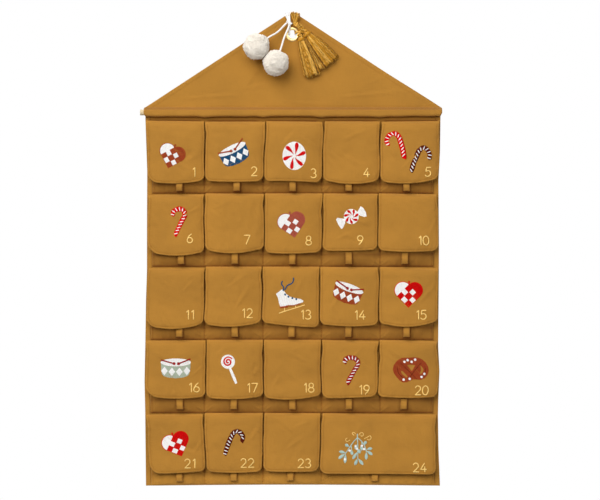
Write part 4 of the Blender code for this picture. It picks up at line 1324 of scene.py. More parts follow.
# %% A stitch
def stitch_shape():
    """The stitch's points, one long, one wide and one high, and its faces."""
    deselect()
    bpy.ops.mesh.primitive_cylinder_add(
        vertices=4, radius=0.5, depth=0.56, end_fill_type="NGON", rotation=(0, math.radians(90), 0))
    stitch = bpy.context.object
    bpy.ops.object.transform_apply(location=True, rotation=True, scale=True)
    for way in (-1, 1):
        bpy.ops.object.mode_set(mode="EDIT")
        bpy.ops.mesh.select_mode(type="FACE")
        bpy.ops.mesh.select_all(action="DESELECT")
        bpy.ops.object.mode_set(mode="OBJECT")
        for polygon in stitch.data.polygons:
            polygon.select = polygon.normal.x * way > 0.9
        bpy.ops.object.mode_set(mode="EDIT")
        bpy.ops.mesh.extrude_region_move(TRANSFORM_OT_translate={"value": (0.22 * way, 0, -0.16)})
        bpy.ops.transform.resize(value=(1, 0.45, 0.45), center_override=(0.5 * way, 0, -0.16))
        bpy.ops.object.mode_set(mode="OBJECT")
    points = np.array([tuple(v.co) for v in stitch.data.vertices])
    faces = [tuple(p.vertices) for p in stitch.data.polygons]
    bpy.data.objects.remove(stitch, do_unlink=True)
    return points, faces


STITCH_POINTS, STITCH_FACES = stitch_shape()
print("stitch:", len(STITCH_POINTS), "points,", len(STITCH_FACES), "faces")


# %% Sewing
def sew(name, surface, marks, body, slots=THREAD_SLOTS, way=-1.0):
    """Copies of the stitch along marks of x, z, x, z, width, height, lift and thread."""
    table = np.array([mark[:7] for mark in marks])
    used = sorted({mark[7] for mark in marks}, key=slots.index)
    colours = np.array([used.index(mark[7]) for mark in marks])
    start, end = table[:, 0:2], table[:, 2:4]

    def on_cloth(place):
        return np.stack([place[:, 0], way * surface(place[:, 0], place[:, 1]), place[:, 1]], axis=1)

    first, last = on_cloth(start), on_cloth(end)
    middle = (start + end) / 2
    h = 0.0007
    slope_x = (surface(middle[:, 0] + h, middle[:, 1]) - surface(middle[:, 0] - h, middle[:, 1])) / (2 * h)
    slope_z = (surface(middle[:, 0], middle[:, 1] + h) - surface(middle[:, 0], middle[:, 1] - h)) / (2 * h)
    normal = np.stack([-slope_x, np.full(len(marks), way), -slope_z], axis=1)
    normal /= np.linalg.norm(normal, axis=1, keepdims=True)
    centre = on_cloth(middle) * 0.6 + (first + last) * 0.2
    along = last - first
    length = np.linalg.norm(along, axis=1, keepdims=True)
    side = np.cross(along / np.maximum(length, 1e-9), normal)
    side /= np.maximum(np.linalg.norm(side, axis=1, keepdims=True), 1e-9)
    width, height, lift = (table[:, k][:, None, None] for k in (4, 5, 6))
    tx, ty, tz = (STITCH_POINTS[None, :, k, None] for k in range(3))
    points = (centre[:, None, :] + along[:, None, :] * tx + side[:, None, :] * ty * width
              + normal[:, None, :] * (tz * height + lift)).reshape(-1, 3)
    points[:, 0] += sway(points[:, 0], points[:, 2])
    points[:, 2] += foot_lift(points[:, 0], points[:, 2])
    count = len(STITCH_POINTS)
    faces = [tuple(v + k * count for v in face) for k in range(len(marks)) for face in STITCH_FACES]
    values = (STITCH_POINTS[None, :, 0] * length + np.arange(len(marks))[:, None] * 0.00037).reshape(-1)
    piece = new_mesh(name, points, faces, [THREADS[key] for key in used], values,
                     np.repeat(colours, len(STITCH_FACES)))
    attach(piece, body)
    return piece


def running(route, stitch=0.0026, gap=0.0008, width=0.00062, height=0.00050, lift=0.00008, thread="canvas"):
    """The marks of a straight seam of equal stitches along a route of x and z."""
    route = np.array(route)
    along = np.concatenate([[0], np.cumsum(np.linalg.norm(np.diff(route, axis=0), axis=1))])
    count = max(int(along[-1] / (stitch + gap)), 1)
    starts = np.linspace(0, along[-1] - stitch, count)
    marks = []
    for a in starts:
        x0, x1 = np.interp([a, a + stitch], along, route[:, 0])
        z0, z1 = np.interp([a, a + stitch], along, route[:, 1])
        marks.append((x0, z0, x1, z1, width, height, lift, thread))
    return marks


def gable_front(x, z):
    return FACING_DEPTH + FACING_CLOTH / 2 + gable_relief(x, z)


def back_front(x, z):
    edge = np.minimum(HALF_WIDTH - np.abs(x), z - BODY_FOOT)
    hem = soft((HEM_WIDTH + 0.0012 - edge) / 0.0024)
    return BACK_CLOTH + hem * np.clip(row_distance(z) / 0.006, 0.2, 1.0) * 0.0006


def back_rear(x, z):
    return np.zeros_like(x)


inner = GABLE_HEM / SLOPE_SHARE
slope_marks = []
for side in (-1, 1):
    z = np.linspace(APEX - 0.020, STITCH_LINE + 0.001, 60)
    slope_marks += running(np.stack([side * (half_width(z) - inner), z], axis=1))
slope_marks += running([(-HALF_WIDTH + 0.001, STITCH_LINE), (HALF_WIDTH - 0.001, STITCH_LINE)],
                       height=0.00036, lift=-0.00006)
gable_seam = sew("gable_stitching", gable_front, slope_marks, "panel")
hem_marks = []
for side in (-1, 1):
    hem_marks += running([(side * (HALF_WIDTH - HEM_WIDTH + 0.0008), FIRST_FLAP + 0.004),
                          (side * (HALF_WIDTH - HEM_WIDTH + 0.0008), BODY_FOOT + 0.001)])
hem_seam = sew("side_hem_stitching", back_front, hem_marks, "panel")
rear_marks = []
for row in range(6):
    rear_marks += running([(-0.288, row_top(row) + 0.0006), (0.288, row_top(row) + 0.0006)], stitch=0.0034, gap=0.0011)
for row in range(5):
    for seam in pocket_edges(row):
        rear_marks += running([(seam, row_top(row) - POCKET_MOUTH), (seam, row_top(row) - POCKET_FOOT)], stitch=0.0034, gap=0.0011)
rear_marks += running([(-0.298, STITCH_LINE), (0.298, STITCH_LINE)], stitch=0.0034, gap=0.0011)
rear_marks += running([(-0.298, SLEEVE_FOOT + 0.0015), (0.298, SLEEVE_FOOT + 0.0015)], stitch=0.0034, gap=0.0011)
rear_seam = sew("rear_stitching", back_rear, rear_marks, "panel", way=1.0)
print("seams on the panel:", len(slope_marks) + len(hem_marks) + len(rear_marks), "stitches")


# %% Flap and pocket seams
def flap_front(number):
    flap = FLAPS[number]
    return lambda x, z: flap.depth(x, z) + FLAP_CLOTH / 2


def flap_outline(flap, inset):
    """The line that keeps an inset from a flap's edge: down, along the foot and up."""
    route = []
    left_r, right_r = flap.corners
    for z in np.linspace(flap.top - 0.006, flap.top - float(flap.drop(flap.middle - flap.half)) + left_r, 24):
        route.append((float(flap.sides(np.array([z]))[0][0]) + inset, z))
    z_last = route[-1][1]
    x_left = float(flap.sides(np.array([z_last]))[0][0])
    x_right = float(flap.sides(np.array([z_last]))[1][0])
    for i in range(1, 12):
        angle = math.pi + math.pi / 2 * i / 12
        x = x_left + left_r + (left_r - inset) * math.cos(angle)
        foot = flap.top - float(flap.drop(x))
        route.append((x, foot + left_r + (left_r - inset) * math.sin(angle)))
    for x in np.linspace(x_left + left_r, x_right - right_r, 24):
        route.append((x, flap.top - float(flap.drop(x)) + inset))
    for i in range(1, 12):
        angle = 1.5 * math.pi + math.pi / 2 * i / 12
        x = x_right - right_r + (right_r - inset) * math.cos(angle)
        foot = flap.top - float(flap.drop(x))
        route.append((x, foot + right_r + (right_r - inset) * math.sin(angle)))
    for z in np.linspace(route[-1][1] + 0.001, flap.top - 0.006, 24):
        route.append((float(flap.sides(np.array([z]))[1][0]) - inset, z))
    return route


flap_stitches = 0
for number, flap in FLAPS.items():
    marks = running(flap_outline(flap, FLAP_SEAM), stitch=0.0027, gap=0.0009, width=0.00058, height=0.00046)
    falls_flat(sew(f"flap_{number:02d}_stitching", flap_front(number), marks, f"flap_{number:02d}"))
    flap_stitches += len(marks)
for row in range(5):
    def pocket_front(x, z, row=row):
        return strip_depth(row, x, row_top(row) - z) + POCKET_CLOTH / 2
    marks = []
    edges = pocket_edges(row)
    for seam in edges[1:-1]:
        marks += running([(seam, row_top(row) - POCKET_MOUTH - 0.001), (seam, row_top(row) - POCKET_FOOT + 0.002)])
    for seam, side in ((edges[0], 1), (edges[-1], -1)):
        marks += running([(seam + side * 0.004, row_top(row) - POCKET_MOUTH - 0.001),
                          (seam + side * 0.004, row_top(row) - POCKET_FOOT + 0.002)])
    for left, right in zip(edges, edges[1:]):
        marks += running([(left + 0.004, row_top(row) - POCKET_MOUTH - 0.0122),
                          (right - 0.004, row_top(row) - POCKET_MOUTH - 0.0122)])
    sew(f"pocket_row_{row + 1}_stitching", pocket_front, marks, "panel")
print("flap stitches:", flap_stitches)

# %% [markdown]
# ## Embroidery
# The figures are those of a traditional Christmas: woven paper hearts, drums, peppermints, canes, a
# skate, a pretzel and mistletoe. They are drawn here from plain circles, squares and ropes, in
# millimetres, and then filled as an embroiderer fills them: rows of short stitches for a surface,
# slanting stitches across a line for a rope, and one layer over another for the details.

# %% Fillings
def circle(cx, cy, rx, ry=None, count=36, turn=0.0):
    ry = rx if ry is None else ry
    c, s = math.cos(math.radians(turn)), math.sin(math.radians(turn))
    loop = []
    for i in range(count):
        x, y = rx * math.cos(2 * math.pi * i / count), ry * math.sin(2 * math.pi * i / count)
        loop.append((cx + x * c - y * s, cy + x * s + y * c))
    return loop


def fill(loops, thread, heading=0.0, pitch=0.55, length=4.6, layer=0):
    """Rows of stitches that fill outlines, each row brick-wise against the last."""
    c, s = math.cos(math.radians(heading)), math.sin(math.radians(heading))
    turned = [[(x * c + y * s, -x * s + y * c) for x, y in loop] for loop in loops]
    levels = [y for loop in turned for _, y in loop]
    marks = []
    for k, level in enumerate(np.arange(min(levels) + pitch / 2, max(levels), pitch)):
        cuts = []
        for loop in turned:
            for (x0, y0), (x1, y1) in zip(loop, loop[1:] + loop[:1]):
                if (y0 <= level) != (y1 <= level):
                    cuts.append(x0 + (x1 - x0) * (level - y0) / (y1 - y0))
        cuts.sort()
        for a, b in zip(cuts[::2], cuts[1::2]):
            if b - a < 0.5:
                continue
            stops = [a]
            if b - a > 1.5 * length:
                first = a + length * (0.45 + 0.55 * ((k * 0.382) % 1))
                while first < b - 0.35 * length:
                    stops.append(first)
                    first += length
            stops.append(b)
            for p, q in zip(stops, stops[1:]):
                marks.append((p * c - level * s, p * s + level * c, q * c - level * s, q * s + level * c,
                              pitch * 1.35, 0.62, layer, thread))
    return marks


def dense(points, step=0.6):
    route = smooth_route([(x, y, 0) for x, y in points], 8)
    return evenly(route, step)[:, :2]


def satin(points, widths, thread, slant=0.0, pitch=0.55, layer=1):
    """Stitches across a line, whose width may change along it."""
    line = dense(points, pitch) if len(points) > 2 else evenly([(x, y, 0) for x, y in points], pitch)[:, :2]
    way = np.gradient(line, axis=0)
    way /= np.linalg.norm(way, axis=1, keepdims=True)
    marks = []
    shares = np.linspace(0, 1, len(line))
    widths = np.interp(shares, np.linspace(0, 1, len(np.atleast_1d(widths))), np.atleast_1d(widths))
    angle = math.radians(90 - slant)
    for k, ((x, y), (dx, dy)) in enumerate(zip(line, way)):
        ax = dx * math.cos(angle) - dy * math.sin(angle)
        ay = dx * math.sin(angle) + dy * math.cos(angle)
        reach = widths[k] / 2 / max(math.sin(angle), 0.3)
        if reach < 0.2:
            continue
        marks.append((x - ax * reach, y - ay * reach, x + ax * reach, y + ay * reach, pitch * 1.35, 0.66, layer, thread))
    return marks


def placed(marks, centre, turn=0.0, size=1.0, flip=False):
    """Marks in millimetres, turned and set down at a place on the calendar."""
    c, s = math.cos(math.radians(turn)), math.sin(math.radians(turn))
    found = []
    for x0, y0, x1, y1, width, height, layer, thread in marks:
        if flip:
            x0, x1 = -x0, -x1
        ends = []
        for x, y in ((x0, y0), (x1, y1)):
            x, y = x * size / 1000, y * size / 1000
            ends += [centre[0] + x * c - y * s, centre[1] + x * s + y * c]
        found.append((*ends, width / 1000, height / 1000, 0.00006 + 0.00028 * layer, thread))
    return found


def woven_heart(side, thread):
    """Two folded papers woven into each other: a square on its corner, and two half discs."""
    def at(i, j):
        return (j - i) * side / 3 / math.sqrt(2), (i + j - 3) * side / 3 / math.sqrt(2)
    marks = []
    marks += fill([[at(0, 0), at(0, 3), at(3, 3), at(3, 0)]], thread, heading=-45, length=4.0)
    for i, j in ((0, 1), (1, 0), (1, 2), (2, 1)):
        a, b, c, d = i + 0.07, i + 0.93, j + 0.07, j + 0.93
        if (i, j) in ((2, 1), (1, 0)):
            b = min(b + 0.10, 3.0)
        marks += fill([[at(a, c), at(a, d), at(b, d), at(b, c)]], "white", heading=45, length=4.0, layer=1)
    for way, colour in ((-1, "white"), (1, thread)):
        x, y = at(3, 1.5) if way < 0 else at(1.5, 3)
        first = 45 if way < 0 else -45
        loop = [(x + side / 2 * math.cos(math.radians(first + 180 * t / 24)),
                 y + side / 2 * math.sin(math.radians(first + 180 * t / 24))) for t in range(25)]
        marks += fill([loop], colour, heading=45 * -way, length=5)
        if way < 0:
            marks += satin(loop, 1.3, thread, layer=1)
    top = at(3, 3)[1]
    marks += satin([(0, top - 2.0), (0, top + 3.0), (0.4, top + 6.5)], (3.0, 2.6, 4.4), thread, layer=1)
    return marks


def drum(thread, sticks="rust", lean=0.0):
    """A side drum seen a little from above, with its sticks laid on the skin."""
    skin = circle(0, 12, 30.3, 8.0)
    foot = [(29.8, 11), (28.8, -3), (27, -12), (24, -15.5), (15, -18.8), (0, -20.4), (-15, -18.8), (-24, -15.5),
            (-27, -12), (-28.8, -3), (-29.8, 11)]
    lower = [(30 * math.cos(math.radians(a)), 12 + 8.0 * math.sin(math.radians(a))) for a in range(190, 351, 12)]
    marks = fill([lower + foot], thread, heading=0, length=4.4)
    marks += fill([skin], "white", heading=0, length=5.0)
    for x, y in ((-22.2, -5.4), (-7.4, -7.2), (7.4, -7.2), (22.2, -5.4)):
        marks += fill([[(x - 6.7, y), (x, y - 8.8), (x + 6.7, y), (x, y + 8.8)]], "white", heading=90, length=4.4, layer=1)
    for (x0, y0), (x1, y1) in (((-29.5, 17.0), (-3.4, 9.6)), ((29.0, 19.0 + lean), (5.4, 9.4))):
        marks += satin([(x0, y0), (x1, y1)], 2.9, sticks, layer=2)
        marks += fill([circle(x1, y1, 3.0)], sticks, heading=40, length=9, layer=2)
    return marks


def mint(rx, ry, strokes, turn=0.0, reach=(0.14, 0.95), width=8.0, curl=16):
    """A round peppermint: white, with curved drops of red that turn about its middle."""
    marks = fill([circle(0, 0, rx, ry)], "white", heading=20, length=5.0)
    for k in range(strokes):
        line = []
        for i in range(6):
            t = i / 5
            angle = math.radians(360 * k / strokes + turn - curl * (1 - t) ** 1.5)
            r = reach[0] + (reach[1] - reach[0]) * t
            line.append((rx * r * math.cos(angle), ry * r * math.sin(angle)))
        marks += satin(line, (0.9, width * 0.28, width * 0.5, width * 0.75, width * 0.95, width, width * 0.6), "red", layer=1)
    return marks


def sweet():
    """A peppermint in its twisted wrapper."""
    marks = []
    for wing in (
        [(11.4, 8.0), (18.9, 21.0), (21.0, 19.6), (24.4, 17.8), (29.6, 9.1), (31.6, 0.4), (26.2, -1.1), (15.3, 2.3)],
        [(-12.5, -5.0), (-28.9, -2.7), (-31.4, -6.8), (-27.3, -16.0), (-21.2, -25.5), (-17.5, -23.9), (-12.5, -13.7)],
    ):
        marks += fill([wing], "white", heading=25, length=6)
    return marks + mint(15.4, 15.4, 7, turn=20, reach=(0.26, 0.94), width=5.4, curl=38)


def cane(points, thread, way=1, width=11.0):
    """A striped cane: a rope of slanting stitches, with white bars that lean more down its stem."""
    marks = satin(points, (width * 0.6,) + (width,) * 14 + (width * 0.7,), thread, slant=30, pitch=0.5, layer=0)
    line = dense(points, 0.5)
    steps = np.gradient(line, axis=0)
    length = 0.5 * (len(line) - 1)
    for at in np.arange(2.6, length - 2.0, 6.8):
        (x, y), (dx, dy) = line[int(at / 0.5)], steps[int(at / 0.5)]
        turn = math.atan2(dy, dx) - way * math.radians(92 - 40 * min(1.7 * at / length, 1.0))
        dx, dy = 3.5 * math.cos(turn), 3.5 * math.sin(turn)
        marks += satin([(x - dx, y - dy), (x + dx, y + dy)], (1.3, 2.2, 2.3, 2.2, 1.3), "white", layer=1)
    return marks


def skate():
    boot = [(-26.9, 8), (-21, 12.5), (-14.8, 17.1), (-11.5, 15.5), (-9.1, 13.2), (-5.7, 8), (2.3, 2.3), (13.7, -1.1),
            (23.9, -2.3), (29.6, -5.7), (28.5, -8.7), (20.5, -11.4), (9.1, -14.8), (-2.3, -14.8), (-9.1, -17.1),
            (-17.8, -18.2), (-20.5, -11.4), (-22.8, 0)]
    marks = fill([boot], "white", heading=12, length=4.6)
    marks += satin([(-18.5, -19.6), (-10, -18.8), (-2.5, -17.6)], 4.0, "rust", layer=1)
    marks += satin([(-2.5, -16.6), (10, -16.0), (24, -11.8)], 1.8, "rust", layer=1)
    marks += satin([(-20.5, -31.4), (-9, -27.3), (13.7, -20.5), (31.9, -14.4)], 2.2, "gold", layer=1)
    for x, y0, y1 in ((-9.2, -26.5, -20.5), (13.5, -20.0, -15.5)):
        marks += satin([(x, y0), (x, y1)], 1.8, "gold", layer=1)
    for x, y in ((-8.0, 6.8), (-1.1, 2.3), (6.8, -0.5), (14.8, -2.7)):
        marks += fill([circle(x, y, 2.1)], "blue", heading=30, length=9, layer=1)
    marks += satin([(-12.0, 14.0), (-11.2, 21.7), (-15.6, 28.5), (-13.4, 34.2)], 2.6, "blue", layer=1)
    marks += satin([(-8.5, 16.0), (-3.4, 25.1), (5.7, 29.6), (9.1, 36.5), (8.7, 41.0)], 2.6, "blue", layer=1)
    return marks


def lollipop():
    marks = satin([(4.0, -13.0), (17.0, -44.0)], (5.2, 5.8, 6.4, 6.4, 5.0), "white", layer=0)
    marks += fill([circle(0, 0, 14.4)], "white", heading=15, length=4.6)
    spiral = [((10.2 - 8.8 * t / 30) * math.cos(0.37 * t + 0.6), (10.2 - 8.8 * t / 30) * math.sin(0.37 * t + 0.6))
              for t in range(31)]
    return marks + satin(spiral, (2.4, 3.3, 3.3, 3.4), "red", layer=1)


def pretzel():
    """A baked pretzel: one thick strand, crossed at its middle, with coarse salt."""
    shape = [(-36, 0.5), (-34, 9), (-27.5, 18.0), (-17.8, 23.8), (-9, 24.6), (-1.8, 24.4), (8, 25.4), (16, 24.4),
             (24, 21.0), (31, 14.5), (35.5, 6), (36.5, -2), (34.4, -11), (28.5, -17.5), (21, -20.8), (12, -20.2),
             (5, -20.0), (-1.8, -23.2), (-9, -25.8), (-16, -26.0), (-22, -22.0), (-28, -15.5), (-33.5, -8)]
    left_gap = [(-19.4, -2.4), (-15.5, -3.6), (-6.0, -14.0), (-8.4, -16.4), (-17.8, -8.6)]
    middle_gap = [(-7.2, 9.3), (1, 10.0), (9.3, 9.3), (2.3, -2.8)]
    right_gap = [(20.2, 8.6), (26, 0.8), (23.4, -6.4), (18.2, -9.4), (20.6, -1.8)]
    marks = fill([shape, left_gap, middle_gap, right_gap], "rust", heading=18, length=4.2)
    for line in ([(-21, 15), (-9, 2), (2, -9), (12, -19)], [(22, 14), (12, 3), (2, -10), (-4, -22)],
                 [(-27, 6), (-24, -8), (-12, -20)], [(29, 6), (29, -6), (24, -15)]):
        marks += satin(line, (0.6, 1.0, 1.0, 0.6), "brown", layer=1)
    for x, y in ((-12.1, 16.0), (-5.7, 19.4), (2.3, 16.0), (9.6, 20.3), (-13.9, -20.5), (-1.8, -18.9), (22.1, -15.0),
                 (27.4, -8.7)):
        marks += fill([circle(x, y, 2.6)], "white", heading=25, length=9, layer=2)
    return marks


def leaf(x0, y0, x1, y1, width=6.6):
    """A long leaf with a round end, worked in slanting stitches from its stalk."""
    return satin([(x0, y0), (x1, y1)], (0.8, 1.4, 3.2, width * 0.85, width, width, width * 0.8, 1.4), "mist", layer=1)


def mistletoe():
    """A hanging sprig: forked stalks, leaves in pairs, berries and a curled ribbon."""
    marks = []
    for stalk in ([(0, 8), (0, 0), (0.7, -14), (0.7, -28), (0.7, -43)],
                  [(0, 0), (-8, -9), (-16, -21), (-24, -33)],
                  [(0, 0), (8, -7), (14, -16), (18.2, -29)],
                  [(-13, -16), (-12, -26), (-11.5, -30)], [(9, -8), (9.6, -16), (9, -22)]):
        marks += satin(stalk, 2.1, "mist", layer=0)
    for x0, y0, x1, y1 in (
        (-23, -32, -37.5, -29.5), (-24, -33, -38.5, -44.5), (-24, -33, -25.5, -53.5), (-16, -20, -25, -14.0),
        (-12, -25, -10.8, -36.5), (0.7, -29, -9.5, -45), (0.7, -43, -5.2, -57.5), (0.7, -43, 11.6, -57),
        (0.7, -13, -4.6, -24), (14, -16, 17.6, -7), (18, -25, 30.0, -22.5), (18, -27, 30.5, -36), (18.2, -29, 18.0, -46),
        (9.4, -13, 8.6, -27), (0.7, -22, 5.4, -33),
    ):
        marks += leaf(x0, y0, x1, y1)
    for x, y in ((-16, -27.5), (-1.2, -23.5), (9.1, -17), (-3.6, -18), (13.5, -24), (-25.5, -46)):
        marks += fill([circle(x, y, 2.6)], "white", heading=25, length=9, layer=2)
    for line in ([(-7, 5), (-10.5, 9), (-7, 11), (-4, 8)], [(-15, -5), (-22, -8), (-24, -3), (-21, -1)],
                 [(3, 5), (6, 10), (11, 10), (12, 5), (8, 3), (7, 6)],
                 [(14, -2), (20, 1), (26, 4), (28, -1), (24, -5), (20, -3)]):
        marks += satin(line, 1.5, "gold", layer=1)
    return marks


print("a woven heart takes", len(woven_heart(33, "rust")), "stitches")

# %% [markdown]
# ## Figures and numbers in place
# Each figure is set down where the photograph shows it, on the flap that carries it, and rides with
# that flap. The numbers are plain round-ended strokes of gold thread, 18 mm tall.

# %% Figures
def from_photo(px, py):
    """The place on the calendar that a pixel of the photograph shows."""
    return (px - 292.3) * 0.002051, (34.4 - py) * 0.002051


def from_first(points):
    """Pixels of the photograph as millimetres from the first of them."""
    x0, y0 = points[0]
    return [((x - x0) * 2.051, (y0 - y) * 2.051) for x, y in points]


CANES = {
    5: (([(387.7, 145.8), (386.2, 140.8), (388.4, 136.3), (393.4, 133.8), (397.9, 136.9), (400.1, 143.6),
          (401.8, 150.2), (403.4, 159.1)], "red", 1),
        ([(427.1, 159.7), (428.2, 154.7), (425.1, 149.7), (421.8, 148.3), (417.9, 150.8), (415.1, 156.9),
          (412.9, 163.6), (410.1, 171.9)], "brown", -1)),
    6: (([(171.9, 215.9), (173.6, 211.4), (178.0, 209.2), (183.0, 210.3), (184.7, 215.3), (181.9, 220.9),
          (178.6, 227.6), (174.7, 235.9)], "red", 1),),
    19: (([(344.2, 362.8), (345.7, 358.9), (350.7, 357.2), (355.7, 358.9), (357.9, 363.9), (354.6, 369.4),
           (351.2, 375.6), (346.8, 383.3)], "wine", 1),),
    22: (([(225.0, 455.1), (227.2, 447.3), (230.0, 440.1), (232.8, 434.0), (236.1, 431.2), (240.0, 431.8),
           (242.8, 436.8), (241.7, 441.8)], "brown", -1),),
}


def cane_marks(number):
    marks = []
    for points, thread, way in CANES[number]:
        marks += placed(cane(from_first(points), thread, way), from_photo(*points[0]))
    return marks


FIGURES = {
    1: lambda: placed(woven_heart(32.0, "rust"), from_photo(171.2, 158.2), -18),
    2: lambda: placed(drum("blue", lean=4.0), from_photo(234.9, 154.9), 26),
    3: lambda: placed(mint(24.2, 29.0, 6, turn=16), from_photo(294.3, 156.2)),
    5: lambda: cane_marks(5),
    6: lambda: cane_marks(6),
    8: lambda: placed(woven_heart(33.5, "terracotta"), from_photo(292.5, 226.5), 11.5),
    9: lambda: placed(sweet(), from_photo(351.2, 216.6)),
    13: lambda: placed(skate(), from_photo(289.1, 297.7)),
    14: lambda: placed(drum("rust", sticks="wine"), from_photo(347.2, 293.2), -20),
    15: lambda: placed(woven_heart(34.0, "red"), from_photo(408.3, 296.0), -1),
    16: lambda: placed(drum("sage", sticks="wine"), from_photo(176.8, 367.9), 0),
    17: lambda: placed(lollipop(), from_photo(228.2, 361.4)),
    19: lambda: cane_marks(19),
    20: lambda: placed(pretzel(), from_photo(409.8, 369.2)),
    21: lambda: placed(woven_heart(33.0, "red"), from_photo(178.1, 445.8), 22),
    22: lambda: cane_marks(22),
    24: lambda: placed(mistletoe(), from_photo(357.2, 437.2)),
}
total = 0
for number, draw in FIGURES.items():
    marks = draw()
    falls_flat(sew(f"figure_{number:02d}", flap_front(number), marks, f"flap_{number:02d}"))
    total += len(marks)
print(len(FIGURES), "figures,", total, "stitches")

# %% Numbers
def bow(cx, cy, rx, ry, first, last, count=12):
    return [(cx + rx * math.cos(math.radians(first + (last - first) * i / count)),
             cy + ry * math.sin(math.radians(first + (last - first) * i / count))) for i in range(count + 1)]


DIGITS = {
    "0": [bow(0.32, 0.5, 0.32, 0.5, 90, 450, 20)],
    "1": [[(0.10, 0.80), (0.22, 0.90), (0.32, 1.0)], [(0.32, 1.0), (0.32, 0.5), (0.32, 0.0)]],
    "2": [bow(0.32, 0.70, 0.29, 0.30, 165, -38, 12) + [(0.30, 0.25), (0.03, 0.0)], [(0.03, 0.0), (0.35, 0.0), (0.66, 0.0)]],
    "3": [bow(0.28, 0.745, 0.27, 0.255, 150, -80, 12), bow(0.28, 0.26, 0.32, 0.26, 80, -150, 12)],
    "4": [[(0.46, 1.0), (0.24, 0.65), (0.0, 0.29)], [(0.0, 0.29), (0.35, 0.29), (0.68, 0.29)], [(0.47, 0.62), (0.47, 0.3), (0.47, 0.0)]],
    "5": [[(0.58, 1.0), (0.35, 1.0), (0.12, 1.0)], [(0.12, 1.0), (0.09, 0.78), (0.06, 0.56)], bow(0.27, 0.32, 0.33, 0.32, 130, -150, 14)],
    "6": [[(0.50, 1.0), (0.26, 0.78), (0.06, 0.45)] , bow(0.32, 0.29, 0.30, 0.29, 150, 510, 20)],
    "7": [[(0.0, 1.0), (0.33, 1.0), (0.66, 1.0)], [(0.66, 1.0), (0.44, 0.5), (0.22, 0.0)]],
    "8": [bow(0.32, 0.75, 0.25, 0.25, 90, 450, 18), bow(0.32, 0.26, 0.31, 0.26, 90, 450, 20)],
    "9": [[(0.16, 0.0), (0.40, 0.24), (0.60, 0.55)], bow(0.32, 0.71, 0.30, 0.29, -30, 330, 20)],
}
DIGIT_HEIGHT = 18.2
DIGIT_STEP = {"1": 0.56}
NUMBER_PLACES = (
    (193.9, 172.4), (254.2, 171.6), (313.6, 173.6), (366.2, 173.0), (427.4, 172.2),
    (190.0, 238.4), (247.2, 239.8), (308.6, 240.6), (360.0, 240.2), (422.7, 240.6),
    (190.2, 314.6), (247.2, 313.0), (305.8, 314.4), (359.4, 314.8), (420.8, 314.6),
    (194.6, 387.0), (252.2, 387.4), (308.7, 387.2), (363.8, 389.2), (421.0, 389.8),
    (190.4, 463.6), (247.4, 463.4), (304.4, 463.8), (418.6, 467.4),
)


def number_marks(number):
    """The digits of a number, side by side about their middle, in millimetres."""
    marks, x = [], 0.0
    for digit in str(number):
        for stroke in DIGITS[digit]:
            line = [((x + px) * DIGIT_HEIGHT, (py - 0.5) * DIGIT_HEIGHT) for px, py in stroke]
            marks += satin(line, (1.9, 2.4, 2.4, 2.4, 1.9), "gold", slant=24, pitch=0.5, layer=2)
        x += DIGIT_STEP.get(digit, 0.84)
    middle = (x - 0.2) * DIGIT_HEIGHT / 2
    return [(x0 - middle, y0, x1 - middle, y1, *rest) for x0, y0, x1, y1, *rest in marks]


gold_stitches = 0
for number, place in enumerate(NUMBER_PLACES, start=1):
    marks = placed(number_marks(number), from_photo(*place))
    falls_flat(sew(f"number_{number:02d}", flap_front(number), marks, f"flap_{number:02d}"))
    gold_stitches += len(marks)
print(len(NUMBER_PLACES), "numbers,", gold_stitches, "gold stitches")

# %% [markdown]
# ## The rod
# A plain turned rod of pale wood keeps the calendar wide. Only its left end shows, standing 6 mm out
# of the sleeve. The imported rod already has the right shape, so it stays and gets its grain.

# %% Rod
rod = bpy.data.objects["dowel"]
for slot_number in range(max(len(rod.material_slots), 1)):
    if len(rod.material_slots) == 0:
        rod.data.materials.append(WOOD)
    rod.material_slots[slot_number].material = WOOD

# %% [markdown]
# ## The eyelet
# The brass eyelet is spun from thin tube: its front is rolled over into a smooth ring, and its back
# is flared over a washer. It is drawn here as a ring that is carried along its own section, one
# extrude and one resize at a time, which is how a turned part grows in edit mode.

# %% Eyelet
def turned_ring(name, section, steps=96):
    """A ring about the eyelet's axis, extruded through a closed section of radius and depth."""
    deselect()
    radius, depth = section[0]
    bpy.ops.mesh.primitive_circle_add(
        vertices=steps, radius=radius, location=(0, -depth, 0), rotation=(math.radians(90), 0, 0))
    ring = bpy.context.object
    ring.name = ring.data.name = name
    bpy.ops.object.transform_apply(location=True, rotation=True, scale=True)
    bpy.ops.object.mode_set(mode="EDIT")
    bpy.ops.mesh.select_mode(type="EDGE")
    bpy.ops.mesh.select_all(action="SELECT")
    for target, at_depth in section[1:] + section[:1]:
        bpy.ops.mesh.extrude_region_move(TRANSFORM_OT_translate={"value": (0, depth - at_depth, 0)})
        bpy.ops.transform.resize(value=(target / radius, 1, target / radius), center_override=(0, 0, 0))
        radius, depth = target, at_depth
    bpy.ops.mesh.select_all(action="SELECT")
    bpy.ops.mesh.remove_doubles(threshold=0.000004)
    bpy.ops.mesh.normals_make_consistent(inside=False)
    bpy.ops.object.mode_set(mode="OBJECT")
    bpy.ops.object.shade_smooth_by_angle(angle=math.radians(50))
    ring.data.materials.append(BRASS)
    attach(ring, "panel")
    return ring


def arc(middle, size, first, last, count):
    """Points of a section along an ellipse, by radius and depth."""
    return [(middle[0] + size[0] * math.cos(math.radians(first + (last - first) * i / count)),
             middle[1] + size[1] * math.sin(math.radians(first + (last - first) * i / count)))
            for i in range(count + 1)]


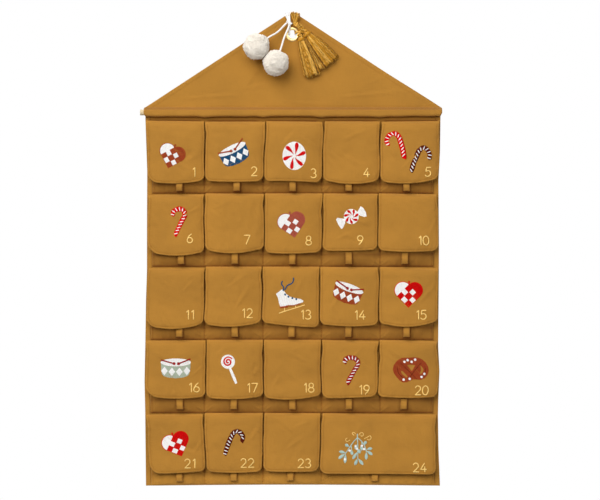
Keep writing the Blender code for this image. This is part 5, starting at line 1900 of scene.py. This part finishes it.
eyelet = turned_ring("eyelet_rolled", (
    arc((0.0117, 0.0035), (0.0030, 0.0015), 178, 0, 18) + [(0.0147, 0.0033), (0.0094, 0.0033), (0.0094, -0.0014)]
    + [(0.0105, -0.0014), (0.0105, -0.0019), (0.0088, -0.0019)]
))
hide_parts("eyelet_front")
washer = turned_ring("eyelet_washer_ring", (
    arc((0.0118, -0.0007), (0.0022, 0.0004), 0, -180, 14) + [(0.0096, -0.0003), (0.0140, -0.0003)]
))
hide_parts("eyelet_washer")
print("eyelet faces:", len(eyelet.data.polygons) + len(washer.data.polygons))

# %% [markdown]
# ## How the trims are tied on
# A doubled cord goes through the eyelet from behind, comes over the gable's edge, and is knotted in
# front. The pom-poms' cord makes three white strands over the left slope; the tassels' bundle of gold
# threads lies over the peak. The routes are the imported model's, and every strand keeps beside them.

# %% Hitches
FLANGE_FRONT = 0.0050
HOLE_RADIUS = 0.0080
GAP = 0.0003
TREFOIL = 2.6


def gable_edge(x):
    slope = (APEX - STITCH_LINE) / (HALF_WIDTH - APEX_WIDTH / 2)
    return float(blunt(APEX - slope * max(abs(x) - APEX_WIDTH / 2, 0.0)))


def hitch_route(x_edge, hole_angle, knot, depth, radius, aside=0.0, last=None):
    """One strand: from its knot over the edge, down the back and forward through the eyelet."""
    front = 0.0030 + GAP + radius
    behind, through = -0.0019 - GAP - radius, FLANGE_FRONT + GAP + radius
    over = gable_edge(x_edge) + GAP + radius * 1.5
    reach = HOLE_RADIUS - 2 * GAP - min(radius, 0.0013)
    x_hole = reach * math.cos(math.radians(hole_angle))
    z_hole = reach * math.sin(math.radians(hole_angle))
    x_knot, z_knot = knot
    x_last, z_last = last or knot
    return [
        on_wall(x_knot, depth, z_knot + radius * 1.3),
        on_wall((x_knot + x_edge) / 2, (front + depth) / 2 + radius / 2, (z_knot + over) / 2),
        on_wall(x_edge, front + radius / 2, over - 2 * radius),
        on_wall(x_edge, BACK_CLOTH + radius, over + radius / 4),
        on_wall(x_edge, -radius, over + radius / 4),
        on_wall(x_edge, -GAP - radius * 1.5, over - 3 * radius),
        on_wall((x_edge + x_hole) / 2, behind, 0.014 + 2 * radius),
        on_wall(x_hole, behind - radius / 2, z_hole + radius),
        on_wall(x_hole, (behind - GAP - radius) / 2, z_hole - radius / 4),
        on_wall(x_hole, BACK_CLOTH, z_hole),
        on_wall(x_hole, 0.0030 + radius, z_hole - radius / 4),
        on_wall(x_hole, through, z_hole + radius / 4),
        on_wall((x_hole + x_last) / 2 + aside, through + radius / 2, (z_hole + z_last) / 2),
        on_wall(x_last, depth, z_last - radius * 1.3),
    ]


def knot_lines(centre, size, strands, spread, turn=0.0, flat=0.75):
    """A trefoil knot of several strands side by side, about a centre."""
    made = []
    for k in range(strands):
        off = (k - (strands - 1) / 2) * spread
        line = []
        for i in range(73):
            t = 2 * math.pi * i / 72 + 0.3
            r = size / TREFOIL - 0.0
            grow = 1 + off / size
            x = (math.sin(t) + 2 * math.sin(2 * t)) * r * grow / 1.15
            z = (math.cos(t) - 2 * math.cos(2 * t)) * r * grow / 1.15
            y = -math.sin(3 * t) * r * flat + 0.25 * off
            c, s = math.cos(turn), math.sin(turn)
            line.append((centre[0] + x * c - z * s, centre[1] + y, centre[2] + x * s + z * c))
        made.append(np.array(line))
    return made


LEFT_KNOT, RIGHT_KNOT = (POMPOMS[side]["at"] for side in ("left", "right"))
white_middle = (LEFT_KNOT + RIGHT_KNOT) / 2
white_x, white_z = white_middle.x, white_middle.z
tubes = []
for sideways, at_edge in ((-0.0014, -0.0132), (0.0, -0.0096), (0.0014, -0.0060)):
    strand = hitch_route(at_edge, 172 + 4000 * sideways, (white_x + sideways, white_z), KNOT_DEPTH, 0.0013, 0.0004)
    tubes.append((evenly(smooth_route(strand), 0.0009), 0.00165))
for knot, turn in ((LEFT_KNOT, 0.4), (RIGHT_KNOT, -0.7)):
    tubes.append((evenly(knot_lines(knot, 0.0034, 1, 0.0, turn)[0], 0.0006), 0.00135))
white_hitch = many_tubes("white_hitch", tubes, [WHITE_CORD], sides=12, plies=3, lay=0.006, relief=0.22)
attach(white_hitch, "panel")
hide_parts("pompom_hitch")

GOLD_DEPTH = 0.0103
gold_knots = [(0.0068, 0.0205), (0.0150, -0.0010), (0.0238, 0.0075)]
gold_tie = (0.0178, 0.0092)
gold_radius = 0.00042
tubes, tints = [], []
rng = np.random.default_rng(77)
for thread in range(40):
    share = (thread + 0.5) / 40
    at_edge = -0.0034 + 0.0188 * share + rng.normal(0, 0.0005)
    layer = (0.0, 0.0005, 0.0010)[thread % 3]
    knot = (gold_knots[0][0] + 0.0042 * (share - 0.5), gold_knots[0][1])
    route = hitch_route(at_edge, 34 - 38 * share, knot, GOLD_DEPTH, 0.0005 + 0.0014 * share + layer, last=gold_tie)
    bow_out = (0.0, 0.5, 1.0, 0.8, 0.0, 0.0) + (0.0,) * 8
    route = [p + Vector((rng.normal(0, 0.0003), -0.0030 * layer / 0.001 * bow_out[i], 0.0002 * rng.normal()))
             for i, p in enumerate(route)]
    line = evenly(smooth_route(route), 0.0012)
    wander = np.cumsum(rng.normal(0, 0.00008, line.shape), axis=0)
    wander -= np.linspace(0, 1, len(line))[:, None] * wander[-1]
    tubes.append((line + wander, gold_radius))
    # tint 2 is the dark thread, painted shade between the threads of the bundle
    tints.append(int(rng.choice(3, p=(0.62, 0.26, 0.12))))
for (x, z), size, turn in zip(gold_knots + [gold_tie], (0.0036, 0.0034, 0.0034, 0.0046), (0.2, 1.1, -0.5, 0.9)):
    centre = on_wall(x, GOLD_DEPTH, z)
    for line in knot_lines(centre, size, 7, 0.0007, turn):
        tubes.append((evenly(line, 0.0008), gold_radius))
        tints.append(1 if rng.uniform() < 0.3 else 0)
for (x0, z0), (x, z), count in ((gold_knots[0], gold_tie, 22), (gold_tie, gold_knots[1], 14), (gold_tie, gold_knots[2], 14)):
    start, end = on_wall(x0, GOLD_DEPTH, z0), on_wall(x, GOLD_DEPTH, z)
    for thread in range(count):
        turn = rng.uniform(0, 2 * math.pi)
        reach = 0.0020 * math.sqrt(rng.uniform(0.05, 1))
        side = Vector((reach * math.cos(turn), reach * math.sin(turn), reach * math.cos(turn)))
        line = [start.lerp(end, i / 12) + side * (0.55 + 0.6 * math.sin(math.pi * i / 12)) for i in range(13)]
        tubes.append((evenly(smooth_route(line, 2), 0.0012), gold_radius))
        tints.append(1 if rng.uniform() < 0.3 else 0)
# two small slack loops beside the big knot, as a bundle tied by hand leaves them
for at, size, lean in (((0.0138, 0.0165), 0.0040, 0.5), ((0.0215, 0.0050), 0.0042, -0.4), ((0.0180, 0.0125), 0.0044, 0.1)):
    for thread in range(4):
        grow = size * (1 + 0.10 * thread)
        line = []
        for i in range(25):
            t = 2 * math.pi * i / 24
            x, z = grow * math.cos(t), 0.62 * grow * math.sin(t)
            c, s = math.cos(lean), math.sin(lean)
            line.append((at[0] + x * c - z * s, -(GOLD_DEPTH + 0.0032 + 0.0006 * thread * math.sin(t)), at[1] + x * s + z * c))
        tubes.append((evenly(np.array(line), 0.0009), gold_radius))
        tints.append(thread % 2)
gold_hitch = many_tubes("gold_hitch", tubes, [TASSEL_THREAD, TASSEL_GOLD, TASSEL_SHADE_THREAD], tints, sides=5)
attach(gold_hitch, "panel")
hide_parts("tassel_hitch")
print("hitches:", len(white_hitch.data.polygons) + len(gold_hitch.data.polygons), "faces")

# %% [markdown]
# ## Tassels
# A tassel is a hank of crinkled threads, bound tightly a little below its knot and cut straight
# across its foot. Most threads are mustard cotton, and a third are spun with gold. Some dark threads
# among them are painted shade for the gaps between strands. Each thread here follows its own way
# from the binding to its own place at the foot.

# %% Tassels
TASSELS = {
    "left": {"knot": gold_knots[1], "foot": (0.0430, -0.0872), "width": 0.036},
    "right": {"knot": gold_knots[2], "foot": (0.0788, -0.0612), "width": 0.050},
}
TASSEL_THICK = 0.013
NECK = 0.0072
SPREAD = ((0.0, 0.10), (0.05, 0.24), (0.10, 0.31), (0.13, 0.33), (0.20, 0.44), (0.35, 0.62), (0.60, 0.82), (1.0, 1.0))
LOCKS = 68


def tassel(name, kit, seed, count):
    rng = np.random.default_rng(seed)
    pivot = on_wall(kit["knot"][0], GOLD_DEPTH, kit["knot"][1])
    end = on_wall(kit["foot"][0], GOLD_DEPTH, kit["foot"][1])
    way = (end - pivot).normalized()
    side = way.cross(Vector((0, 1, 0))).normalized()
    front = Vector((0, -1, 0))
    first = 0.0053
    length = (end - pivot).length - first
    shares, spreads = np.array(SPREAD).T
    t = np.linspace(0, 1, 21) ** 0.9
    tubes, tints = [], []
    # the threads cling together in wavy locks, spread evenly over the foot's oval
    locks = []
    for lock in range(LOCKS):
        reach, turn = math.sqrt((lock + 0.5) / LOCKS), lock * 2.39996
        locks.append((reach * math.cos(turn), reach * math.sin(turn), rng.uniform(0.0002, 0.0006),
                      rng.uniform(0.010, 0.020), rng.uniform(0, 6.3), rng.uniform(-0.03, 0.03),
                      rng.permutation([0, 0, 1, 2]) if lock % 2 else rng.permutation([0, 2, 0, 1])))
    for thread in range(count):
        lock_across, lock_deep, bend, wave, phase, longer, mixed = locks[thread % LOCKS]
        near = 0.05 * rng.normal(0, 1, 2)
        across, deep = lock_across + near[0], lock_deep + near[1]
        spread = np.interp(t, shares, spreads)
        width = (NECK + (kit["width"] - NECK) * spread) / 2 * 0.93
        thick = (NECK + (TASSEL_THICK - NECK) * spread) / 2 * 0.80
        down = first + length * t * (1 + longer - rng.uniform(0, 0.035) - 0.02 * abs(across))
        loose = soft((t - 0.10) / 0.25)
        crinkle = rng.uniform(0.0003, 0.0008) * loose
        own = rng.uniform(0.004, 0.007)
        sideways = (across * width + loose * bend * np.sin(2 * np.pi * down / wave + phase)
                    + crinkle * np.sin(2 * np.pi * down / own + phase))
        forwards = (deep * thick + loose * bend * np.cos(2 * np.pi * down / wave + phase)
                    + crinkle * np.cos(2 * np.pi * down / own + 2 * phase))
        line = (np.array(pivot)[None] + down[:, None] * np.array(way) + sideways[:, None] * np.array(side)
                + forwards[:, None] * np.array(front))
        tubes.append((line, rng.uniform(0.00036, 0.00050)))
        # tint 2 is the dark thread, painted shade for the gaps between strands
        tints.append(int(mixed[0 if rng.uniform() < 0.7 else rng.integers(4)]))
    # the binding: one thread wound tightly round the neck
    turns = 5
    s = np.linspace(0, 1, turns * 16 + 1)
    bound = first + length * (0.045 + 0.045 * s)
    angle = 2 * np.pi * turns * s
    neck = (NECK + (kit["width"] - NECK) * 0.24) / 2 + 0.0004
    line = (np.array(pivot)[None] + bound[:, None] * np.array(way) + (neck * np.cos(angle))[:, None] * np.array(side)
            + (0.8 * neck * np.sin(angle))[:, None] * np.array(front))
    tubes.append((line, 0.00045))
    tints.append(0)
    made = many_tubes(name, tubes, [TASSEL_THREAD, TASSEL_GOLD, TASSEL_SHADE_THREAD], tints, sides=4)
    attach(made, name.replace("_threads", ""))
    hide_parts(name.replace("_threads", ""))
    return made


for side_name, kit in TASSELS.items():
    made = tassel(f"tassel_{side_name}_threads", kit, 31 if side_name == "left" else 32,
                  374 if side_name == "left" else 476)
    print("tassel", side_name, len(made.data.polygons), "faces")

# %% [markdown]
# ## Pom-poms
# A pom-pom is thousands of cut yarn ends standing out from a bound middle, trimmed to a ball. The
# ends gather in tufts, so the ball is lumpy, and light fades between them. The yarn's colour is also
# darkened towards the roots and on the core as painted shade. Each end here is a short thick tube
# that splays at its tip. Where the two pom-poms lie against each other they are flat.

# %% Pom-poms
TUFTS = 4700


def pompom(name, kit, other, seed):
    rng = np.random.default_rng(seed)
    centre, radius = kit["centre"], kit["radius"]
    across = other["centre"] - centre
    apart = across.length
    across.normalize()
    wall = (apart + radius - other["radius"]) / 2 - 0.0004
    number = np.arange(TUFTS) + 0.5
    height = 1 - 2 * number / TUFTS
    turn = number * 2.399963 + rng.uniform(-0.5, 0.5, TUFTS)
    flat = np.sqrt(1 - height ** 2)
    way = np.stack([flat * np.cos(turn), flat * np.sin(turn), height], axis=1)
    way += rng.normal(0, 0.012, way.shape)
    way /= np.linalg.norm(way, axis=1, keepdims=True)
    lumps = np.zeros(TUFTS)
    for number in range(150):
        bump_way = rng.normal(0, 1, 3)
        bump_way /= np.linalg.norm(bump_way)
        near = np.arccos(np.clip(way @ bump_way, -1, 1))
        wide = rng.uniform(0.25, 0.40) if number < 22 else rng.uniform(0.06, 0.16)
        lumps += rng.uniform(-1, 1) * np.exp(-(near / wide) ** 2)
    # a furrow runs round the front, where the yarn was wound in two halves
    crown = np.array([0.30, -0.93, 0.22])
    furrow = np.arccos(np.clip(way @ (crown / np.linalg.norm(crown)), -1, 1)) - 0.98
    lumps -= 1.2 * np.exp(-(furrow / 0.05) ** 2) * (way[:, 0] * 0.6 + way[:, 2] < -0.05)
    trimmed = 1 + LUMPS * np.sin(5 * way[:, 0] + 2 * way[:, 2]) * np.cos(6 * way[:, 2] - 3 * way[:, 1])
    reach = radius * (trimmed * 0.975 + 0.058 * np.clip(lumps, -1.6, 1.2) + rng.normal(0, 0.022, TUFTS))
    lean = way + rng.normal(0, 0.12, way.shape)
    lean /= np.linalg.norm(lean, axis=1, keepdims=True)
    shares = np.array([0.0, 0.86, 1.0])
    widths = np.array([0.00045, 0.00086, 0.00058])
    root = way * radius * 0.80
    tip = root + lean * (reach - radius * 0.80)[:, None]
    back = np.clip(-(tip[:, 1] + centre.y) - 0.0034, None, 0.0)
    tip[:, 1] += back * 1.0
    over = np.maximum(tip @ np.array(across) - wall, 0)
    tip -= over[:, None] * np.array(across)
    over = np.maximum(root @ np.array(across) - wall + 0.001, 0)
    root -= over[:, None] * np.array(across)
    first = np.cross(way, np.array([0.3, 0.2, 0.93]))
    first /= np.linalg.norm(first, axis=1, keepdims=True)
    second = np.cross(way, first)
    sides = 5
    angle = 2 * np.pi * np.arange(sides) / sides
    ring = np.cos(angle)[None, :, None] * first[:, None, :] + np.sin(angle)[None, :, None] * second[:, None, :]
    rows = [
        (root + (tip - root) * share)[:, None, :] + ring * width * rng.uniform(0.85, 1.15, TUFTS)[:, None, None]
        for share, width in zip(shares, widths)
    ]
    points = np.stack(rows, axis=1).reshape(-1, 3) + np.array(centre)
    # painted shade in the yarn: each tuft's value rises from its root to its tip, and is lower on some tufts at random
    shade = rng.uniform(0.45, 1.0, TUFTS)[:, None, None]
    values = np.broadcast_to(np.array([0.0, 0.8, 1.0])[None, :, None] * shade, (TUFTS, 3, sides)).reshape(-1)
    faces = []
    for k in range(TUFTS):
        base = k * 3 * sides
        for step in range(2):
            for j in range(sides):
                a, b = base + step * sides + j, base + step * sides + (j + 1) % sides
                faces.append((a, b, b + sides, a + sides))
        faces.append(tuple(base + 2 * sides + j for j in range(sides)))
        faces.append(tuple(base + j for j in range(sides))[::-1])
    made = new_mesh(name, points, faces, [YARN], values)
    deselect()
    bpy.ops.mesh.primitive_ico_sphere_add(subdivisions=4, radius=radius * 0.90, location=centre)
    core = bpy.context.object
    bpy.ops.object.transform_apply(location=True, rotation=True, scale=True)
    for vertex in core.data.vertices:
        out = vertex.co - centre
        vertex.co -= across * max(out.dot(across) - wall + 0.0015, 0.0)
    core.data.materials.append(YARN)
    # the core takes a middle value, so it is painted a little darker as shade deep in the ball
    core.data.attributes.new("along", "FLOAT", "POINT").data.foreach_set(
        "value", np.full(len(core.data.vertices), 0.55, np.float32))
    bpy.ops.object.shade_smooth()
    made.select_set(True)
    bpy.context.view_layer.objects.active = made
    bpy.ops.object.join()
    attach(made, name.replace("_yarn", ""))
    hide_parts(name.replace("_yarn", ""))
    return made


for side_name, other_name, seed in (("left", "right", 61), ("right", "left", 62)):
    made = pompom(f"pompom_{side_name}_yarn", POMPOMS[side_name], POMPOMS[other_name], seed)
    print("pom-pom", side_name, len(made.data.polygons), "faces")
